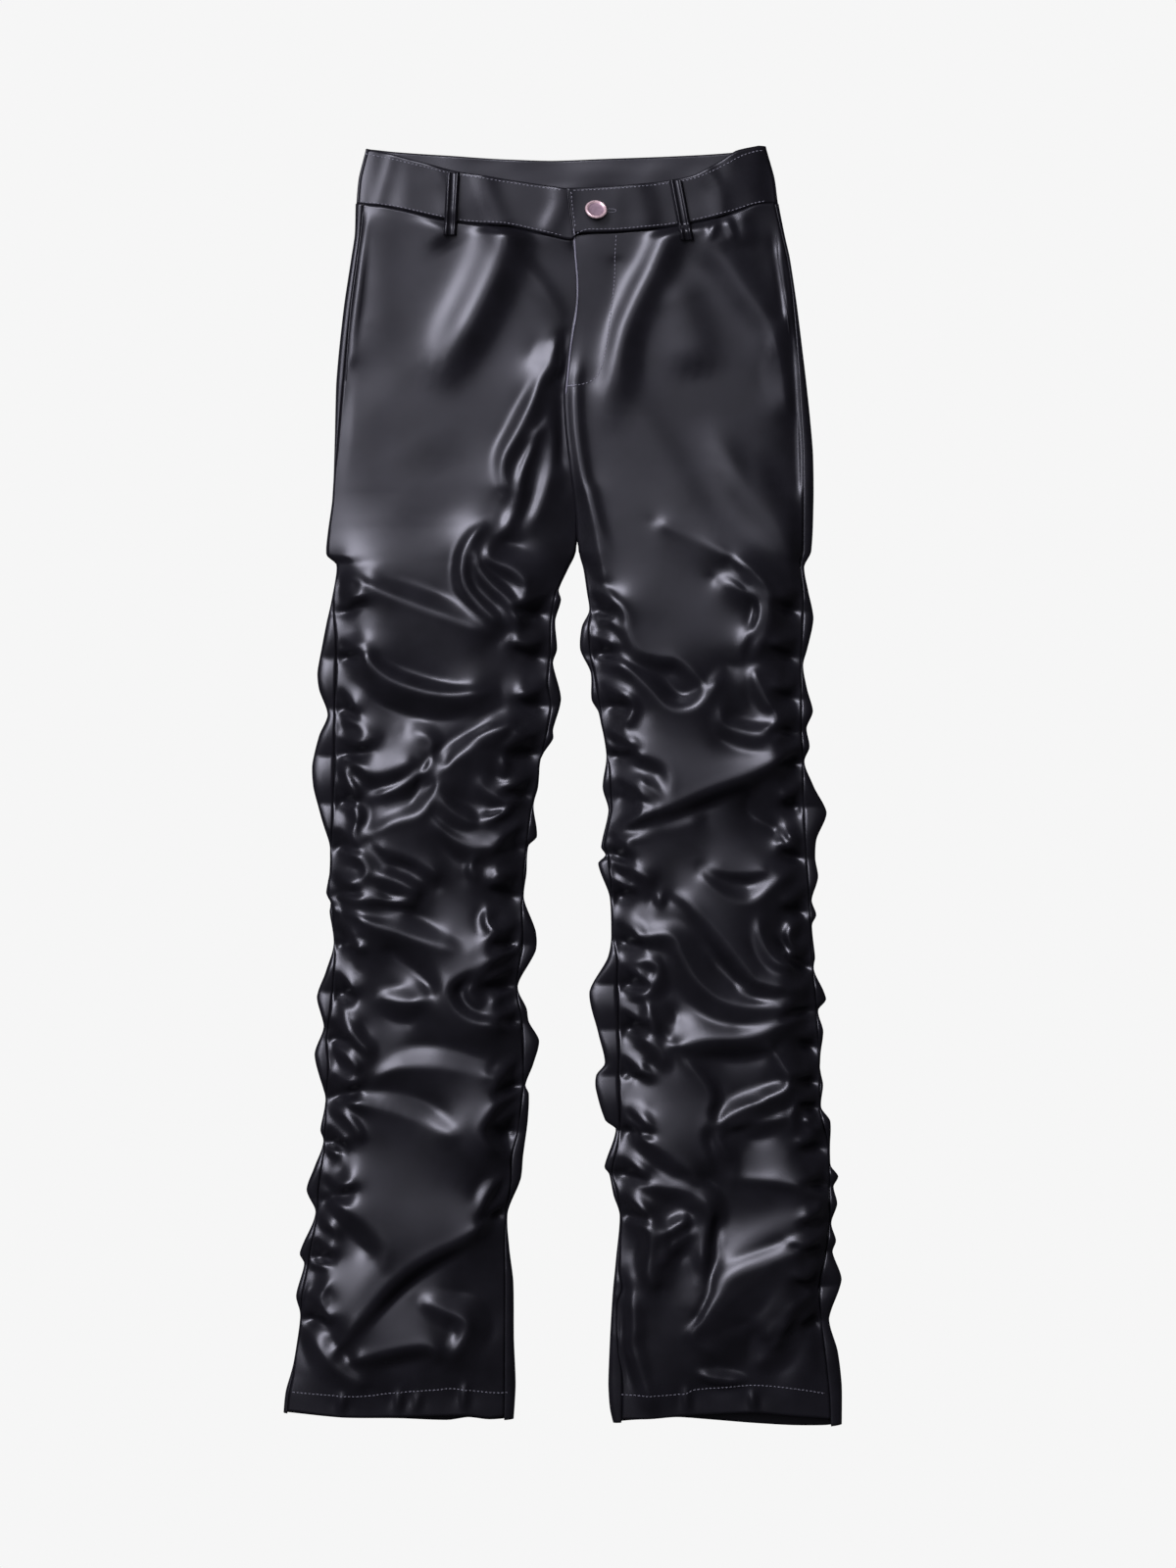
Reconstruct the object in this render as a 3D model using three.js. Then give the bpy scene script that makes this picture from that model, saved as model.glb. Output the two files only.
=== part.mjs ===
// Black leather trousers with stacked, ruched legs, laid flat with the front up.
// The legs are tubes of thin cloth: back panels rest on the surface and roll up round each side to the seams,
// and front panels lie over them, pushed into folds by the gathers tacked along the outseams and inseams.
// Millimetres. +X to the viewer's right, +Y towards the waist, +Z up. The origin is the middle of the footprint.
import * as THREE from "three";

// Driving sizes.
const CLOTH = 1.2; // leather and its backing
const HEM_CLOTH = 2.2; // the turned-up hem is two layers
const BAND_CLOTH = 2.2; // waistband, two layers
const SEAM_GAP = 0.3; // between neighbouring pieces
const CROTCH_Y = 203; // where the legs part
const LEG_HEIGHT = 15; // front cloth over the surface, between folds
const HIP_HEIGHT = 12.5;
const SEAM_LOW = 7; // seam height at a tack
const SEAM_HIGH = 10.5; // seam height between two tacks
const EDGE_RUN = 22; // how far in from a seam the cloth reaches its full height
const HEM_DEPTH = 23;
const TACK_DEPTH = 4; // crease that runs in from each tack
const TACK_REACH = 26;
const TACK_WIDTH = 8;
const PUFF = 3.5; // cloth bulging between two tacks
const LEAST_SLOPE_RUN = 9; // the narrowest slope that these panels can show
const SEAM_FADE = 9; // folds and creases die out this close to a seam
const LEG_ROW_STEP = 14;
const HIP_ROW_STEP = 19;
const FRONT_COLUMNS = 12;
const SEAM_CLOSENESS = 0.06; // draws the columns of a front towards its seams

// Silhouette and seams of each leg, [y, x] from the waist down.
const LEFT_EDGE = [
  [560, -171], [554, -172], [530, -178], [508, -180], [480, -181], [460, -184], [420, -190], [380, -194.5],
  [350, -197], [300, -198.5], [250, -200], [222, -204], [202, -205.5], [194, -197], [178, -198], [150, -204],
  [125, -209], [100, -213.5], [85, -212], [63, -204.5], [45, -212], [20, -218], [0, -217], [-25, -210.5],
  [-52, -202.5], [-75, -202.5], [-92, -206], [-100, -201.5], [-108, -203], [-135, -199], [-160, -206],
  [-182, -214], [-208, -208], [-232, -216], [-262, -208.5], [-272, -206], [-298, -211], [-308, -208],
  [-330, -216], [-350, -223], [-370, -215], [-405, -229], [-414, -225], [-442, -232], [-460, -228],
  [-500, -234], [-525, -241], [-545, -243], [-560, -243],
];
const LEFT_OUTSEAM = [
  [560, -170], [508, -173.5], [480, -176], [450, -180], [400, -186], [350, -190.5], [300, -195.5], [250, -199.5],
  [202, -204.5], [194, -195.5], [160, -199.5], [130, -196.5], [100, -196.5], [68, -198], [27, -198], [-14, -199],
  [-50, -201], [-94, -203.5], [-108, -200], [-136, -198], [-178, -199.5], [-219, -205], [-240, -203],
  [-271, -205.5], [-308, -207], [-350, -212], [-370, -213.5], [-408, -220], [-440, -226], [-460, -227.5],
  [-500, -232.5], [-530, -238], [-560, -240],
];
const LEFT_INNER = [
  [560, 9], [478, 9], [450, 12], [420, 12], [395, 8], [365, 4.5], [340, 1.5], [310, 3], [270, 8], [240, 12],
  [203, 11], [190, 5], [172, -3], [163, -1], [145, -6], [120, -4.5], [108, -8], [77, -1], [50, -8], [42, -8],
  [25, -19], [0, -21], [-15, -25], [-43, -22], [-51, -29.5], [-75, -31], [-96, -33.5], [-125, -23],
  [-142, -23], [-173, -39], [-192, -31], [-204, -29], [-220, -20], [-240, -25], [-259, -32], [-266, -29],
  [-290, -30], [-320, -34], [-340, -36], [-370, -47.5], [-400, -46], [-430, -42.5], [-480, -42],
  [-520, -40.5], [-560, -43],
];
const LEFT_INSEAM = [
  [560, 9], [478, 9], [450, 12], [420, 12], [395, 8], [365, 4.5], [340, 1.5], [310, 3], [270, 8], [240, 12],
  [203, 10], [190, 3.5], [170, -5.5], [150, -9.5], [112, -11], [90, -13], [70, -10], [50, -13], [30, -17.5],
  [0, -23], [-9, -25.5], [-50, -31.5], [-95, -35], [-137, -35], [-173, -40], [-205, -35], [-259, -34],
  [-300, -39], [-320, -44], [-345, -45], [-370, -49.5], [-450, -50], [-527, -50.5], [-560, -51],
];
const RIGHT_EDGE = [
  [560, 177], [555, 178], [530, 185], [508, 188], [480, 193.5], [460, 198], [420, 204], [370, 210], [325, 215],
  [290, 218], [250, 218.5], [205, 216.5], [192, 210.5], [170, 214], [147, 218.5], [120, 213], [106, 209.5],
  [85, 213], [66, 218], [52, 212.5], [35, 215], [22, 210.5], [0, 219], [-22, 230], [-45, 221], [-62, 220],
  [-78, 222.5], [-98, 217], [-111, 221], [-120, 217], [-148, 220], [-158, 218.5], [-184, 229.5], [-194, 222.5],
  [-212, 227], [-243, 223.5], [-258, 227], [-278, 225], [-290, 233], [-328, 233], [-338, 240], [-347, 236],
  [-362, 239], [-379, 234], [-394, 238], [-404, 235], [-428, 243], [-462, 232], [-490, 239.5], [-520, 243],
  [-560, 243],
];
const RIGHT_OUTSEAM = [
  [560, 175], [508, 184], [490, 188], [460, 195], [430, 199.5], [380, 203.5], [330, 206.5], [290, 208.5],
  [205, 209], [195, 207], [170, 209], [152, 209], [112, 207.5], [85, 207.5], [47, 207.5], [22, 209], [-17, 209],
  [-62, 212], [-109, 215], [-157, 217.5], [-192, 220.5], [-257, 224], [-279, 223.5], [-312, 231], [-378, 232],
  [-403, 229], [-433, 223], [-460, 224.5], [-500, 229], [-530, 232], [-560, 233],
];
const RIGHT_INNER = [
  [560, 9.3], [478, 9.3], [450, 12.3], [420, 12.3], [395, 8.3], [365, 4.8], [340, 1.8], [310, 3.3], [270, 8.3],
  [240, 12.3], [203, 14.5], [190, 18], [170, 21], [154, 23], [140, 16.5], [120, 15], [100, 24], [76, 25],
  [65, 31], [30, 38], [0, 34.5], [-20, 39.5], [-52, 33], [-59, 37], [-66, 30.5], [-95, 40.5], [-130, 42],
  [-148, 39], [-178, 23], [-215, 31], [-240, 36.5], [-250, 29], [-262, 28.5], [-290, 37], [-297, 46],
  [-330, 36], [-336, 40], [-355, 44], [-372, 49.5], [-410, 46], [-450, 42.5], [-500, 40], [-520, 39.5],
  [-540, 41], [-560, 46],
];
const RIGHT_INSEAM = [
  [560, 9.3], [478, 9.3], [450, 12.3], [420, 12.3], [395, 8.3], [365, 4.8], [340, 1.8], [310, 3.3], [270, 8.3],
  [240, 12.3], [203, 15.5], [190, 19], [170, 22], [154, 24.5], [140, 22.5], [115, 24.5], [90, 29], [72, 32.5],
  [50, 34.5], [28, 39], [0, 42], [-20, 42], [-50, 36], [-59, 39.5], [-80, 42], [-96, 43], [-130, 44],
  [-150, 47.5], [-172, 48], [-210, 49], [-250, 49], [-297, 49.5], [-335, 43], [-350, 47], [-372, 51],
  [-400, 49.5], [-420, 49], [-435, 51.5], [-450, 47], [-490, 48.5], [-510, 52], [-560, 51],
];

// Where the gathers are tacked, as y down each seam.
const TACKS = {
  leftOut: [196, 152, 112, 68, 27, -14, -51, -94, -136, -178, -219, -270, -308, -358, -409, -460],
  leftIn: [190, 150, 112, 70, 30, -9, -51, -95, -137, -173, -205, -259, -299, -369],
  rightOut: [
    196, 152, 112, 76, 48, 22, -17, -62, -109, -157, -192, -226, -257, -279, -312, -345, -378, -403, -433, -462,
  ],
  rightIn: [190, 153, 115, 71, 28, -8, -59, -95, -133, -171, -210, -250, -297, -335, -372],
};

// The waistband: its seam to the front panels, its front top edge and its back top edge, [x, y].
const WAIST_SEAM = [
  [-185, 508], [-150, 503], [-90, 490], [-45, 486.5], [-10, 478.5], [8.9, 475], [9.4, 480], [50, 482],
  [90, 486], [118, 491], [145, 497.5], [172, 506.5], [195, 508],
];
const FRONT_TOP = [
  [-176, 554], [-140, 545], [-95, 534], [-50, 527], [-10, 521], [3, 519], [50, 521], [90, 525.5], [118, 531],
  [145, 543], [160, 550.5], [182, 554.5],
];
const BACK_TOP = [
  [-176, 554.6], [-150, 552], [-50, 546.3], [-10, 545], [50, 547], [100, 549], [150, 551.6], [182, 555.4],
];
const BACK_SEAM = [[-185, 507.5], [-100, 504], [0, 502], [100, 504], [195, 507.5]];
const FRONT_HEM = [
  [-245, -541], [-192, -545.5], [-143, -545.5], [-100, -544.5], [-82, -544.5], [-64, -547], [-40, -545],
  [40, -549], [60, -548], [80, -547], [100, -545], [128, -543.5], [165, -542], [200, -545], [232, -548],
  [245, -550],
];
const BACK_HEM = [
  [-245, -543], [-192, -548.5], [-143, -549], [-100, -550.5], [-82, -548], [-64, -550], [-40, -548.5],
  [40, -552], [60, -550.5], [80, -549.5], [100, -548], [128, -550], [165, -553], [200, -555], [228, -555],
  [245, -553],
];

// Folds. Each crest runs from (x0, y0) through (x1, y1) to (x2, y2) and stands `height` over the cloth. `left` and
// `right` are how far its slope runs out on either hand of that direction: short is steep.
const FOLD_COLUMNS = ["x0", "y0", "x1", "y1", "x2", "y2", "height", "left", "right"];
const LEFT_FOLDS = [
  [-118, 376, -85, 415, -57, 456, 7, 24, 44],
  [-58, 476, -40, 445, 0, 410, 6, 44, 18],
  [1, 400, -22, 352, -53, 284, 5, 14, 36],
  [-53, 284, -50, 255, -60, 231, 4, 10, 24],
  [-20, 338, -25, 300, -38, 255, 5, 14, 14],
  [-38, 255, -48, 225, -64, 201, 5, 11, 9],
  [-9, 325, -12, 275, -28, 190, 3, 14, 17],
  [-58, 231, -80, 217, -87, 195, 7, 11, 26],
  [-87, 195, -82, 170, -58, 150, 8, 12, 26],
  [-58, 150, -46, 143, -38, 133, 6, 12, 20],
  [-70, 214, -77, 198, -66, 182, 6, 9, 9],
  [-66, 182, -50, 163, -38, 140, 7, 11, 10],
  [-62, 196, -38, 186, -29, 158, 6, 32, 12],
  [-187, 182, -120, 156, -45, 126, 9, 50, 24],
  [-197, 196, -185, 178, -188, 157, 5, 16, 6],
  [-175, 126, -110, 113, -50, 100, 6, 20, 28],
  [-197, 148, -196, 122, -183, 118, 5, 8, 8],
  [-163, 103, -130, 84, -95, 79, 8, 32, 20],
  [-95, 79, -70, 79, -45, 94, 7, 26, 20],
  [-196, 68, -178, 55, -158, 44, 5, 17, 14],
  [-160, 52, -122, 48, -113, 28, 5, 17, 28],
  [-113, 26, -135, 5, -172, -15, 5, 17, 12],
  [-192, 27, -170, 15, -158, 11, 6, 22, 12],
  [-160, 11, -140, 14, -118, 28, 7, 22, 12],
  [-120, 10, -80, 32, -42, 52, 6, 20, 17],
  [-16, 30, -45, 29, -73, 16, 6, 20, 11],
  [-73, 15, -92, 10, -110, 3, 7, 28, 11],
  [-110, 3, -117, -6, -121, -22, 7, 22, 9],
  [-121, -24, -145, -26, -170, -34, 8, 20, 22],
  [-112, -3, -95, -18, -66, -33, 4, 11, 14],
  [-117, -22, -98, -40, -70, -53, 6, 22, 20],
  [-70, -53, -50, -53, -31, -50, 6, 17, 8],
  [-73, 10, -68, -6, -28, -9, 5, 17, 11],
  [-63, -27, -48, -19, -28, -11, 4, 8, 14],
  [-74, -57, -80, -70, -68, -85, 5, 12, 8],
  [-62, -78, -46, -72, -35, -92, 6, 20, 14],
  [-172, -46, -140, -58, -116, -69, 6, 17, 14],
  [-116, -69, -106, -78, -108, -98, 5, 17, 14],
  [-200, -51, -178, -58, -167, -73, 6, 14, 8],
  [-166, -74, -140, -82, -117, -96, 7, 12, 17],
  [-204, -90, -165, -98, -120, -99, 6, 14, 20],
  [-192, -108, -150, -128, -98, -163, 8, 24, 24],
  [-202, -110, -188, -121, -168, -137, 4, 9, 9],
  [-36, -138, -65, -155, -93, -168, 8, 9, 30],
  [-93, -168, -103, -180, -93, -193, 8, 9, 28],
  [-93, -193, -80, -203, -55, -206, 8, 9, 22],
  [-55, -206, -33, -206, -21, -218, 8, 9, 28],
  [-62, -155, -80, -169, -79, -184, 6, 20, 9],
  [-79, -184, -74, -192, -58, -192, 5, 14, 8],
  [-165, -178, -140, -186, -112, -183, 4, 14, 17],
  [-192, -183, -184, -203, -176, -222, 6, 14, 11],
  [-176, -222, -165, -230, -143, -232, 5, 14, 11],
  [-200, -222, -186, -235, -173, -250, 6, 11, 10],
  [-172, -258, -145, -244, -110, -243, 6, 36, 20],
  [-110, -243, -75, -248, -38, -252, 6, 36, 22],
  [-198, -269, -150, -272, -75, -283, 8, 26, 34],
  [-33, -260, -55, -274, -70, -290, 7, 8, 26],
  [-70, -290, -75, -303, -58, -313, 7, 8, 24],
  [-58, -313, -46, -322, -43, -338, 6, 9, 20],
  [-203, -274, -184, -289, -174, -303, 5, 9, 12],
  [-174, -303, -181, -314, -198, -310, 4, 8, 8],
  [-210, -352, -184, -366, -162, -386, 7, 56, 22],
  [-162, -386, -147, -406, -154, -432, 6, 28, 25],
  [-46, -355, -78, -386, -125, -407, 9, 14, 36],
  [-130, -424, -165, -455, -198, -497, 9, 44, 20],
  [-198, -498, -170, -499, -138, -492, 7, 24, 20],
  [-138, -492, -113, -479, -102, -501, 6, 17, 17],
  [-128, -450, -95, -449, -82, -464, 6, 20, 28],
  [-82, -464, -90, -487, -106, -516, 7, 20, 17],
  [-213, -368, -201, -380, -193, -393, 4, 9, 10],
  [-220, -410, -208, -410, -198, -419, 4, 8, 8],
  [-224, -458, -210, -440, -200, -424, 5, 9, 12],
  [-228, -461, -213, -482, -198, -500, 5, 12, 15],
  [-198, -500, -180, -512, -152, -525, 4, 20, 22],
];
const RIGHT_FOLDS = [
  [82, 480, 62, 432, 50, 390, 7, 18, 18],
  [50, 390, 46, 368, 42, 345, 7, 18, 14],
  [12, 400, 24, 390, 33, 368, 3, 8, 8],
  [114, 473, 132, 468, 142, 447, 6, 22, 17],
  [142, 447, 157, 422, 181, 396, 7, 28, 17],
  [181, 396, 191, 360, 196, 320, 4, 20, 20],
  [25, 270, 29, 225, 36, 172, 4, 28, 20],
  [118, 345, 133, 295, 150, 255, 6, 26, 14],
  [150, 255, 180, 232, 197, 200, 6, 20, 13],
  [108, 340, 112, 285, 130, 248, 4, 11, 28],
  [130, 248, 158, 214, 189, 174, 6, 11, 13],
  [84, 229, 125, 205, 162, 184, 8, 20, 17],
  [162, 184, 179, 172, 179, 150, 7, 17, 14],
  [179, 152, 174, 130, 165, 108, 7, 20, 10],
  [164, 106, 165, 93, 173, 85, 6, 20, 12],
  [173, 85, 178, 67, 194, 60, 6, 22, 14],
  [112, 181, 145, 173, 167, 158, 5, 17, 28],
  [168, 154, 152, 128, 128, 100, 7, 17, 24],
  [30, 172, 49, 163, 56, 145, 6, 30, 13],
  [56, 145, 59, 124, 76, 116, 6, 24, 14],
  [76, 116, 98, 110, 116, 86, 7, 26, 17],
  [24, 153, 38, 148, 50, 135, 5, 9, 14],
  [28, 112, 48, 111, 68, 96, 7, 20, 17],
  [68, 96, 84, 76, 104, 68, 7, 20, 20],
  [104, 68, 123, 71, 136, 96, 6, 14, 22],
  [36, 80, 54, 83, 59, 70, 5, 9, 14],
  [59, 70, 57, 58, 43, 50, 5, 11, 10],
  [135, 62, 145, 49, 205, 45, 6, 17, 14],
  [33, 60, 34, 37, 55, 30, 6, 20, 10],
  [55, 30, 82, 29, 93, 12, 7, 28, 17],
  [93, 12, 99, -4, 89, -16, 7, 22, 11],
  [60, 13, 76, 3, 89, -13, 5, 9, 14],
  [207, 45, 193, 26, 165, 12, 8, 12, 36],
  [165, 12, 130, 0, 95, -13, 9, 17, 38],
  [95, -13, 70, -25, 42, -39, 6, 14, 17],
  [158, 1, 128, -23, 90, -34, 5, 24, 12],
  [90, -34, 60, -44, 34, -52, 6, 17, 14],
  [163, -2, 158, -18, 174, -30, 4, 14, 17],
  [41, -8, 64, -5, 69, -17, 5, 12, 10],
  [69, -17, 66, -29, 44, -38, 4, 9, 9],
  [34, -55, 55, -69, 78, -83, 7, 24, 10],
  [78, -83, 88, -94, 82, -106, 5, 14, 11],
  [118, -66, 150, -75, 188, -71, 5, 32, 11],
  [116, -67, 133, -87, 160, -98, 6, 17, 20],
  [160, -98, 182, -88, 208, -65, 6, 17, 20],
  [86, -92, 107, -94, 122, -112, 6, 24, 14],
  [122, -112, 142, -138, 160, -161, 8, 26, 20],
  [160, -161, 171, -172, 206, -173, 8, 24, 17],
  [171, -118, 178, -146, 214, -153, 4, 20, 12],
  [95, -129, 104, -148, 118, -171, 6, 20, 14],
  [118, -171, 148, -187, 208, -190, 6, 20, 26],
  [49, -147, 72, -147, 83, -158, 5, 14, 9],
  [83, -158, 82, -173, 67, -180, 6, 14, 9],
  [71, -184, 75, -202, 80, -216, 6, 17, 10],
  [80, -216, 96, -224, 117, -219, 6, 16, 14],
  [117, -219, 150, -217, 181, -210, 8, 26, 22],
  [181, -210, 198, -205, 219, -197, 5, 11, 11],
  [179, -212, 178, -227, 190, -242, 6, 22, 14],
  [190, -242, 201, -255, 188, -266, 6, 17, 12],
  [188, -266, 160, -274, 138, -287, 7, 11, 14],
  [138, -287, 129, -300, 140, -317, 7, 14, 10],
  [140, -317, 151, -332, 147, -345, 6, 14, 10],
  [112, -252, 130, -262, 121, -302, 6, 10, 24],
  [121, -302, 121, -319, 134, -338, 6, 10, 20],
  [49, -258, 54, -283, 70, -303, 5, 22, 14],
  [70, -303, 98, -329, 129, -347, 7, 26, 20],
  [64, -205, 85, -227, 88, -247, 4, 14, 17],
  [142, -297, 170, -294, 200, -282, 5, 11, 24],
  [226, -257, 203, -272, 198, -294, 5, 10, 20],
  [198, -294, 201, -309, 224, -312, 4, 11, 17],
  [150, -345, 188, -341, 216, -349, 8, 32, 24],
  [216, -349, 234, -359, 232, -377, 6, 11, 20],
  [50, -337, 85, -345, 113, -349, 5, 14, 17],
  [113, -349, 128, -361, 124, -380, 6, 17, 17],
  [124, -380, 124, -402, 121, -428, 5, 14, 20],
  [50, -372, 69, -372, 79, -390, 5, 14, 11],
  [80, -390, 96, -379, 113, -372, 5, 11, 10],
  [87, -418, 91, -397, 106, -387, 5, 9, 14],
  [75, -404, 76, -430, 99, -449, 6, 20, 14],
  [135, -368, 137, -398, 135, -428, 5, 28, 11],
  [229, -380, 207, -399, 168, -414, 8, 12, 32],
  [152, -427, 131, -447, 115, -468, 6, 14, 10],
  [115, -468, 112, -484, 132, -488, 6, 20, 12],
  [132, -488, 152, -487, 176, -478, 4, 20, 14],
  [122, -470, 148, -446, 176, -420, 6, 11, 17],
  [224, -431, 200, -450, 178, -470, 6, 12, 26],
  [222, -421, 204, -438, 165, -457, 5, 11, 11],
  [198, -452, 184, -484, 163, -515, 4, 22, 20],
  [48, -412, 60, -436, 61, -465, 5, 11, 10],
  [61, -465, 58, -499, 71, -521, 5, 11, 10],
  [110, -505, 132, -513, 165, -516, 4, 11, 9],
];

const named = (columns, row) => Object.fromEntries(columns.map((name, i) => [name, row[i]]));
const clamp = (v, low, high) => Math.min(high, Math.max(low, v));
const mix = (a, b, t) => a + (b - a) * t;
const ease = (t) => {
  const s = clamp(t, 0, 1);
  return s * s * (3 - 2 * s);
};

// The height of a smooth curve through [position, value] pairs, in either order of position.
function along(points, at) {
  const down = points[0][0] > points[points.length - 1][0];
  const list = down ? points : [...points].reverse();
  let i = list.findIndex((p) => p[0] <= at);
  if (i < 0) return list[list.length - 1][1];
  if (i === 0) return list[0][1];
  const slope = (k) => {
    const before = list[Math.max(0, k - 1)];
    const after = list[Math.min(list.length - 1, k + 1)];
    return (after[1] - before[1]) / (after[0] - before[0]);
  };
  const [xa, ya] = list[i - 1];
  const [xb, yb] = list[i];
  const run = xb - xa;
  const t = (at - xa) / run;
  const bend = 0.7; // under 1 keeps the curve from swinging past its points
  const h1 = t * (1 - t) * (1 - t) * run * slope(i - 1) * bend;
  const h2 = t * t * (t - 1) * run * slope(i) * bend;
  const chord = (1 - bend) * ((t - 3 * t * t + 2 * t * t * t) * (yb - ya));
  return mix(ya, yb, t * t * (3 - 2 * t)) + h1 + h2 + chord;
}

// How far y lies between two tacks: 0 at a tack, 1 half-way.
function betweenTacks(tacks, y) {
  if (y > tacks[0]) return ease((y - tacks[0]) / 60);
  const last = tacks[tacks.length - 1];
  if (y < last) return ease((last - y) / 40);
  const next = tacks.findIndex((t) => t <= y);
  const upper = tacks[Math.max(0, next - 1)];
  const lower = tacks[next];
  if (upper === lower) return 0;
  return Math.sin((Math.PI * (upper - y)) / (upper - lower));
}

// A crest line as a quadratic curve through its middle point, sampled once.
const FOLD_SAMPLES = 12;
function crest(row) {
  const f = named(FOLD_COLUMNS, row);
  const control = [2 * f.x1 - (f.x0 + f.x2) / 2, 2 * f.y1 - (f.y0 + f.y2) / 2];
  const points = [];
  for (let i = 0; i <= FOLD_SAMPLES; i++) {
    const t = i / FOLD_SAMPLES;
    const a = (1 - t) * (1 - t);
    const b = 2 * t * (1 - t);
    points.push([a * f.x0 + b * control[0] + t * t * f.x2, a * f.y0 + b * control[1] + t * t * f.y2]);
  }
  return { ...f, points };
}

// What one fold adds to the cloth at (x, y).
const CREST_ROUND = 0.12;
const FOLD_LIFT = 1.3; // on every height in the tables
const FOLD_END = 0.18; // share of its length over which a fold dies out
function foldHeight(f, x, y) {
  const reach = Math.max(f.left, f.right, LEAST_SLOPE_RUN);
  let nearest = Infinity;
  let side = 1;
  let share = 0;
  for (let i = 0; i < f.points.length - 1; i++) {
    const [ax, ay] = f.points[i];
    const [bx, by] = f.points[i + 1];
    const dx = bx - ax;
    const dy = by - ay;
    const t = clamp(((x - ax) * dx + (y - ay) * dy) / (dx * dx + dy * dy), 0, 1);
    const ox = x - ax - dx * t;
    const oy = y - ay - dy * t;
    const d = Math.hypot(ox, oy);
    if (d < nearest) {
      nearest = d;
      side = dx * oy - dy * ox;
      share = (i + t) / FOLD_SAMPLES;
    }
  }
  if (nearest > reach) return 0;
  const run = Math.max(side > 0 ? f.left : f.right, LEAST_SLOPE_RUN);
  const s = nearest / run;
  if (s >= 1) return 0;
  const fall = (Math.hypot(s, CREST_ROUND) - CREST_ROUND) / (Math.hypot(1, CREST_ROUND) - CREST_ROUND);
  const ends = ease(share / FOLD_END + 0.35) * ease((1 - share) / FOLD_END + 0.35);
  return FOLD_LIFT * f.height * (1 - fall) * (1 - fall) * ends;
}

const LEGS = {
  left: {
    sign: 1, edge: LEFT_EDGE, outseam: LEFT_OUTSEAM, inseam: LEFT_INSEAM, inner: LEFT_INNER,
    outTacks: TACKS.leftOut, inTacks: TACKS.leftIn, folds: LEFT_FOLDS.map(crest),
  },
  right: {
    sign: -1, edge: RIGHT_EDGE, outseam: RIGHT_OUTSEAM, inseam: RIGHT_INSEAM, inner: RIGHT_INNER,
    outTacks: TACKS.rightOut, inTacks: TACKS.rightIn, folds: RIGHT_FOLDS.map(crest),
  },
};

// A seam at one y: its place, and how far round the rolled side it sits (0 at the silhouette, 1 on top).
function seamAt(edgeLine, seamLine, tacks, y) {
  const edge = along(edgeLine, y);
  const seam = along(seamLine, y);
  const turn = clamp((Math.abs(seam - edge) - 0.5) / 6, 0, 1);
  const full = mix(SEAM_LOW, SEAM_HIGH, betweenTacks(tacks, y));
  return { edge, x: mix(edge, seam, Math.min(1, turn * 3)), z: full * mix(0.55, 1, turn), full, turn };
}
function outseamAt(leg, y) {
  return seamAt(leg.edge, leg.outseam, leg.outTacks, y);
}
// Above the crotch the fronts meet at the centre; below it each has its inseam.
function inseamAt(leg, y) {
  if (y >= CROTCH_Y) {
    const x = along(leg.inner, y);
    const z = mix(3.4, HIP_HEIGHT - 1, ease((y - CROTCH_Y - 4) / 90));
    return { edge: x, x, z, full: z, turn: 1 };
  }
  const s = seamAt(leg.inner, leg.inseam, leg.inTacks, y);
  const opening = ease((CROTCH_Y - y) / 45);
  return { ...s, z: mix(2.4, s.z, opening), full: mix(4.4, s.full, opening), turn: s.turn * opening };
}

// Height of the front cloth's outside at (x, y).
function frontHeight(leg, x, y) {
  const out = outseamAt(leg, y);
  const inn = inseamAt(leg, y);
  const fromOut = Math.max(0, leg.sign * (x - out.x));
  const fromIn = Math.max(0, leg.sign * (inn.x - x));
  const riseOut = ease(fromOut / EDGE_RUN);
  const riseIn = ease(fromIn / EDGE_RUN);
  const full = mix(LEG_HEIGHT, HIP_HEIGHT, ease((y - 180) / 120));
  let z = full * riseOut * riseIn + out.z * (1 - riseOut) + inn.z * (1 - riseIn);
  let square = 0;
  for (const f of leg.folds) {
    const h = foldHeight(f, x, y);
    square += h * h;
  }
  z += Math.sqrt(square) * ease(fromOut / SEAM_FADE) * ease(fromIn / SEAM_FADE);
  z += tackShape(leg.outTacks, fromOut, y);
  if (y < CROTCH_Y) z += tackShape(leg.inTacks, fromIn, y);
  return z;
}
// Creases that run in from the tacks, with the cloth puffed between them.
function tackShape(tacks, from, y) {
  const near = ease(from / 7) * ease((TACK_REACH - from) / (TACK_REACH - 7));
  if (near <= 0 || y > tacks[0] + 20 || y < tacks[tacks.length - 1] - 20) return 0;
  let z = near * PUFF * betweenTacks(tacks, y);
  for (const t of tacks) {
    const d = (y - t) / TACK_WIDTH;
    z -= near * TACK_DEPTH * Math.exp(-d * d);
  }
  return z;
}

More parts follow.
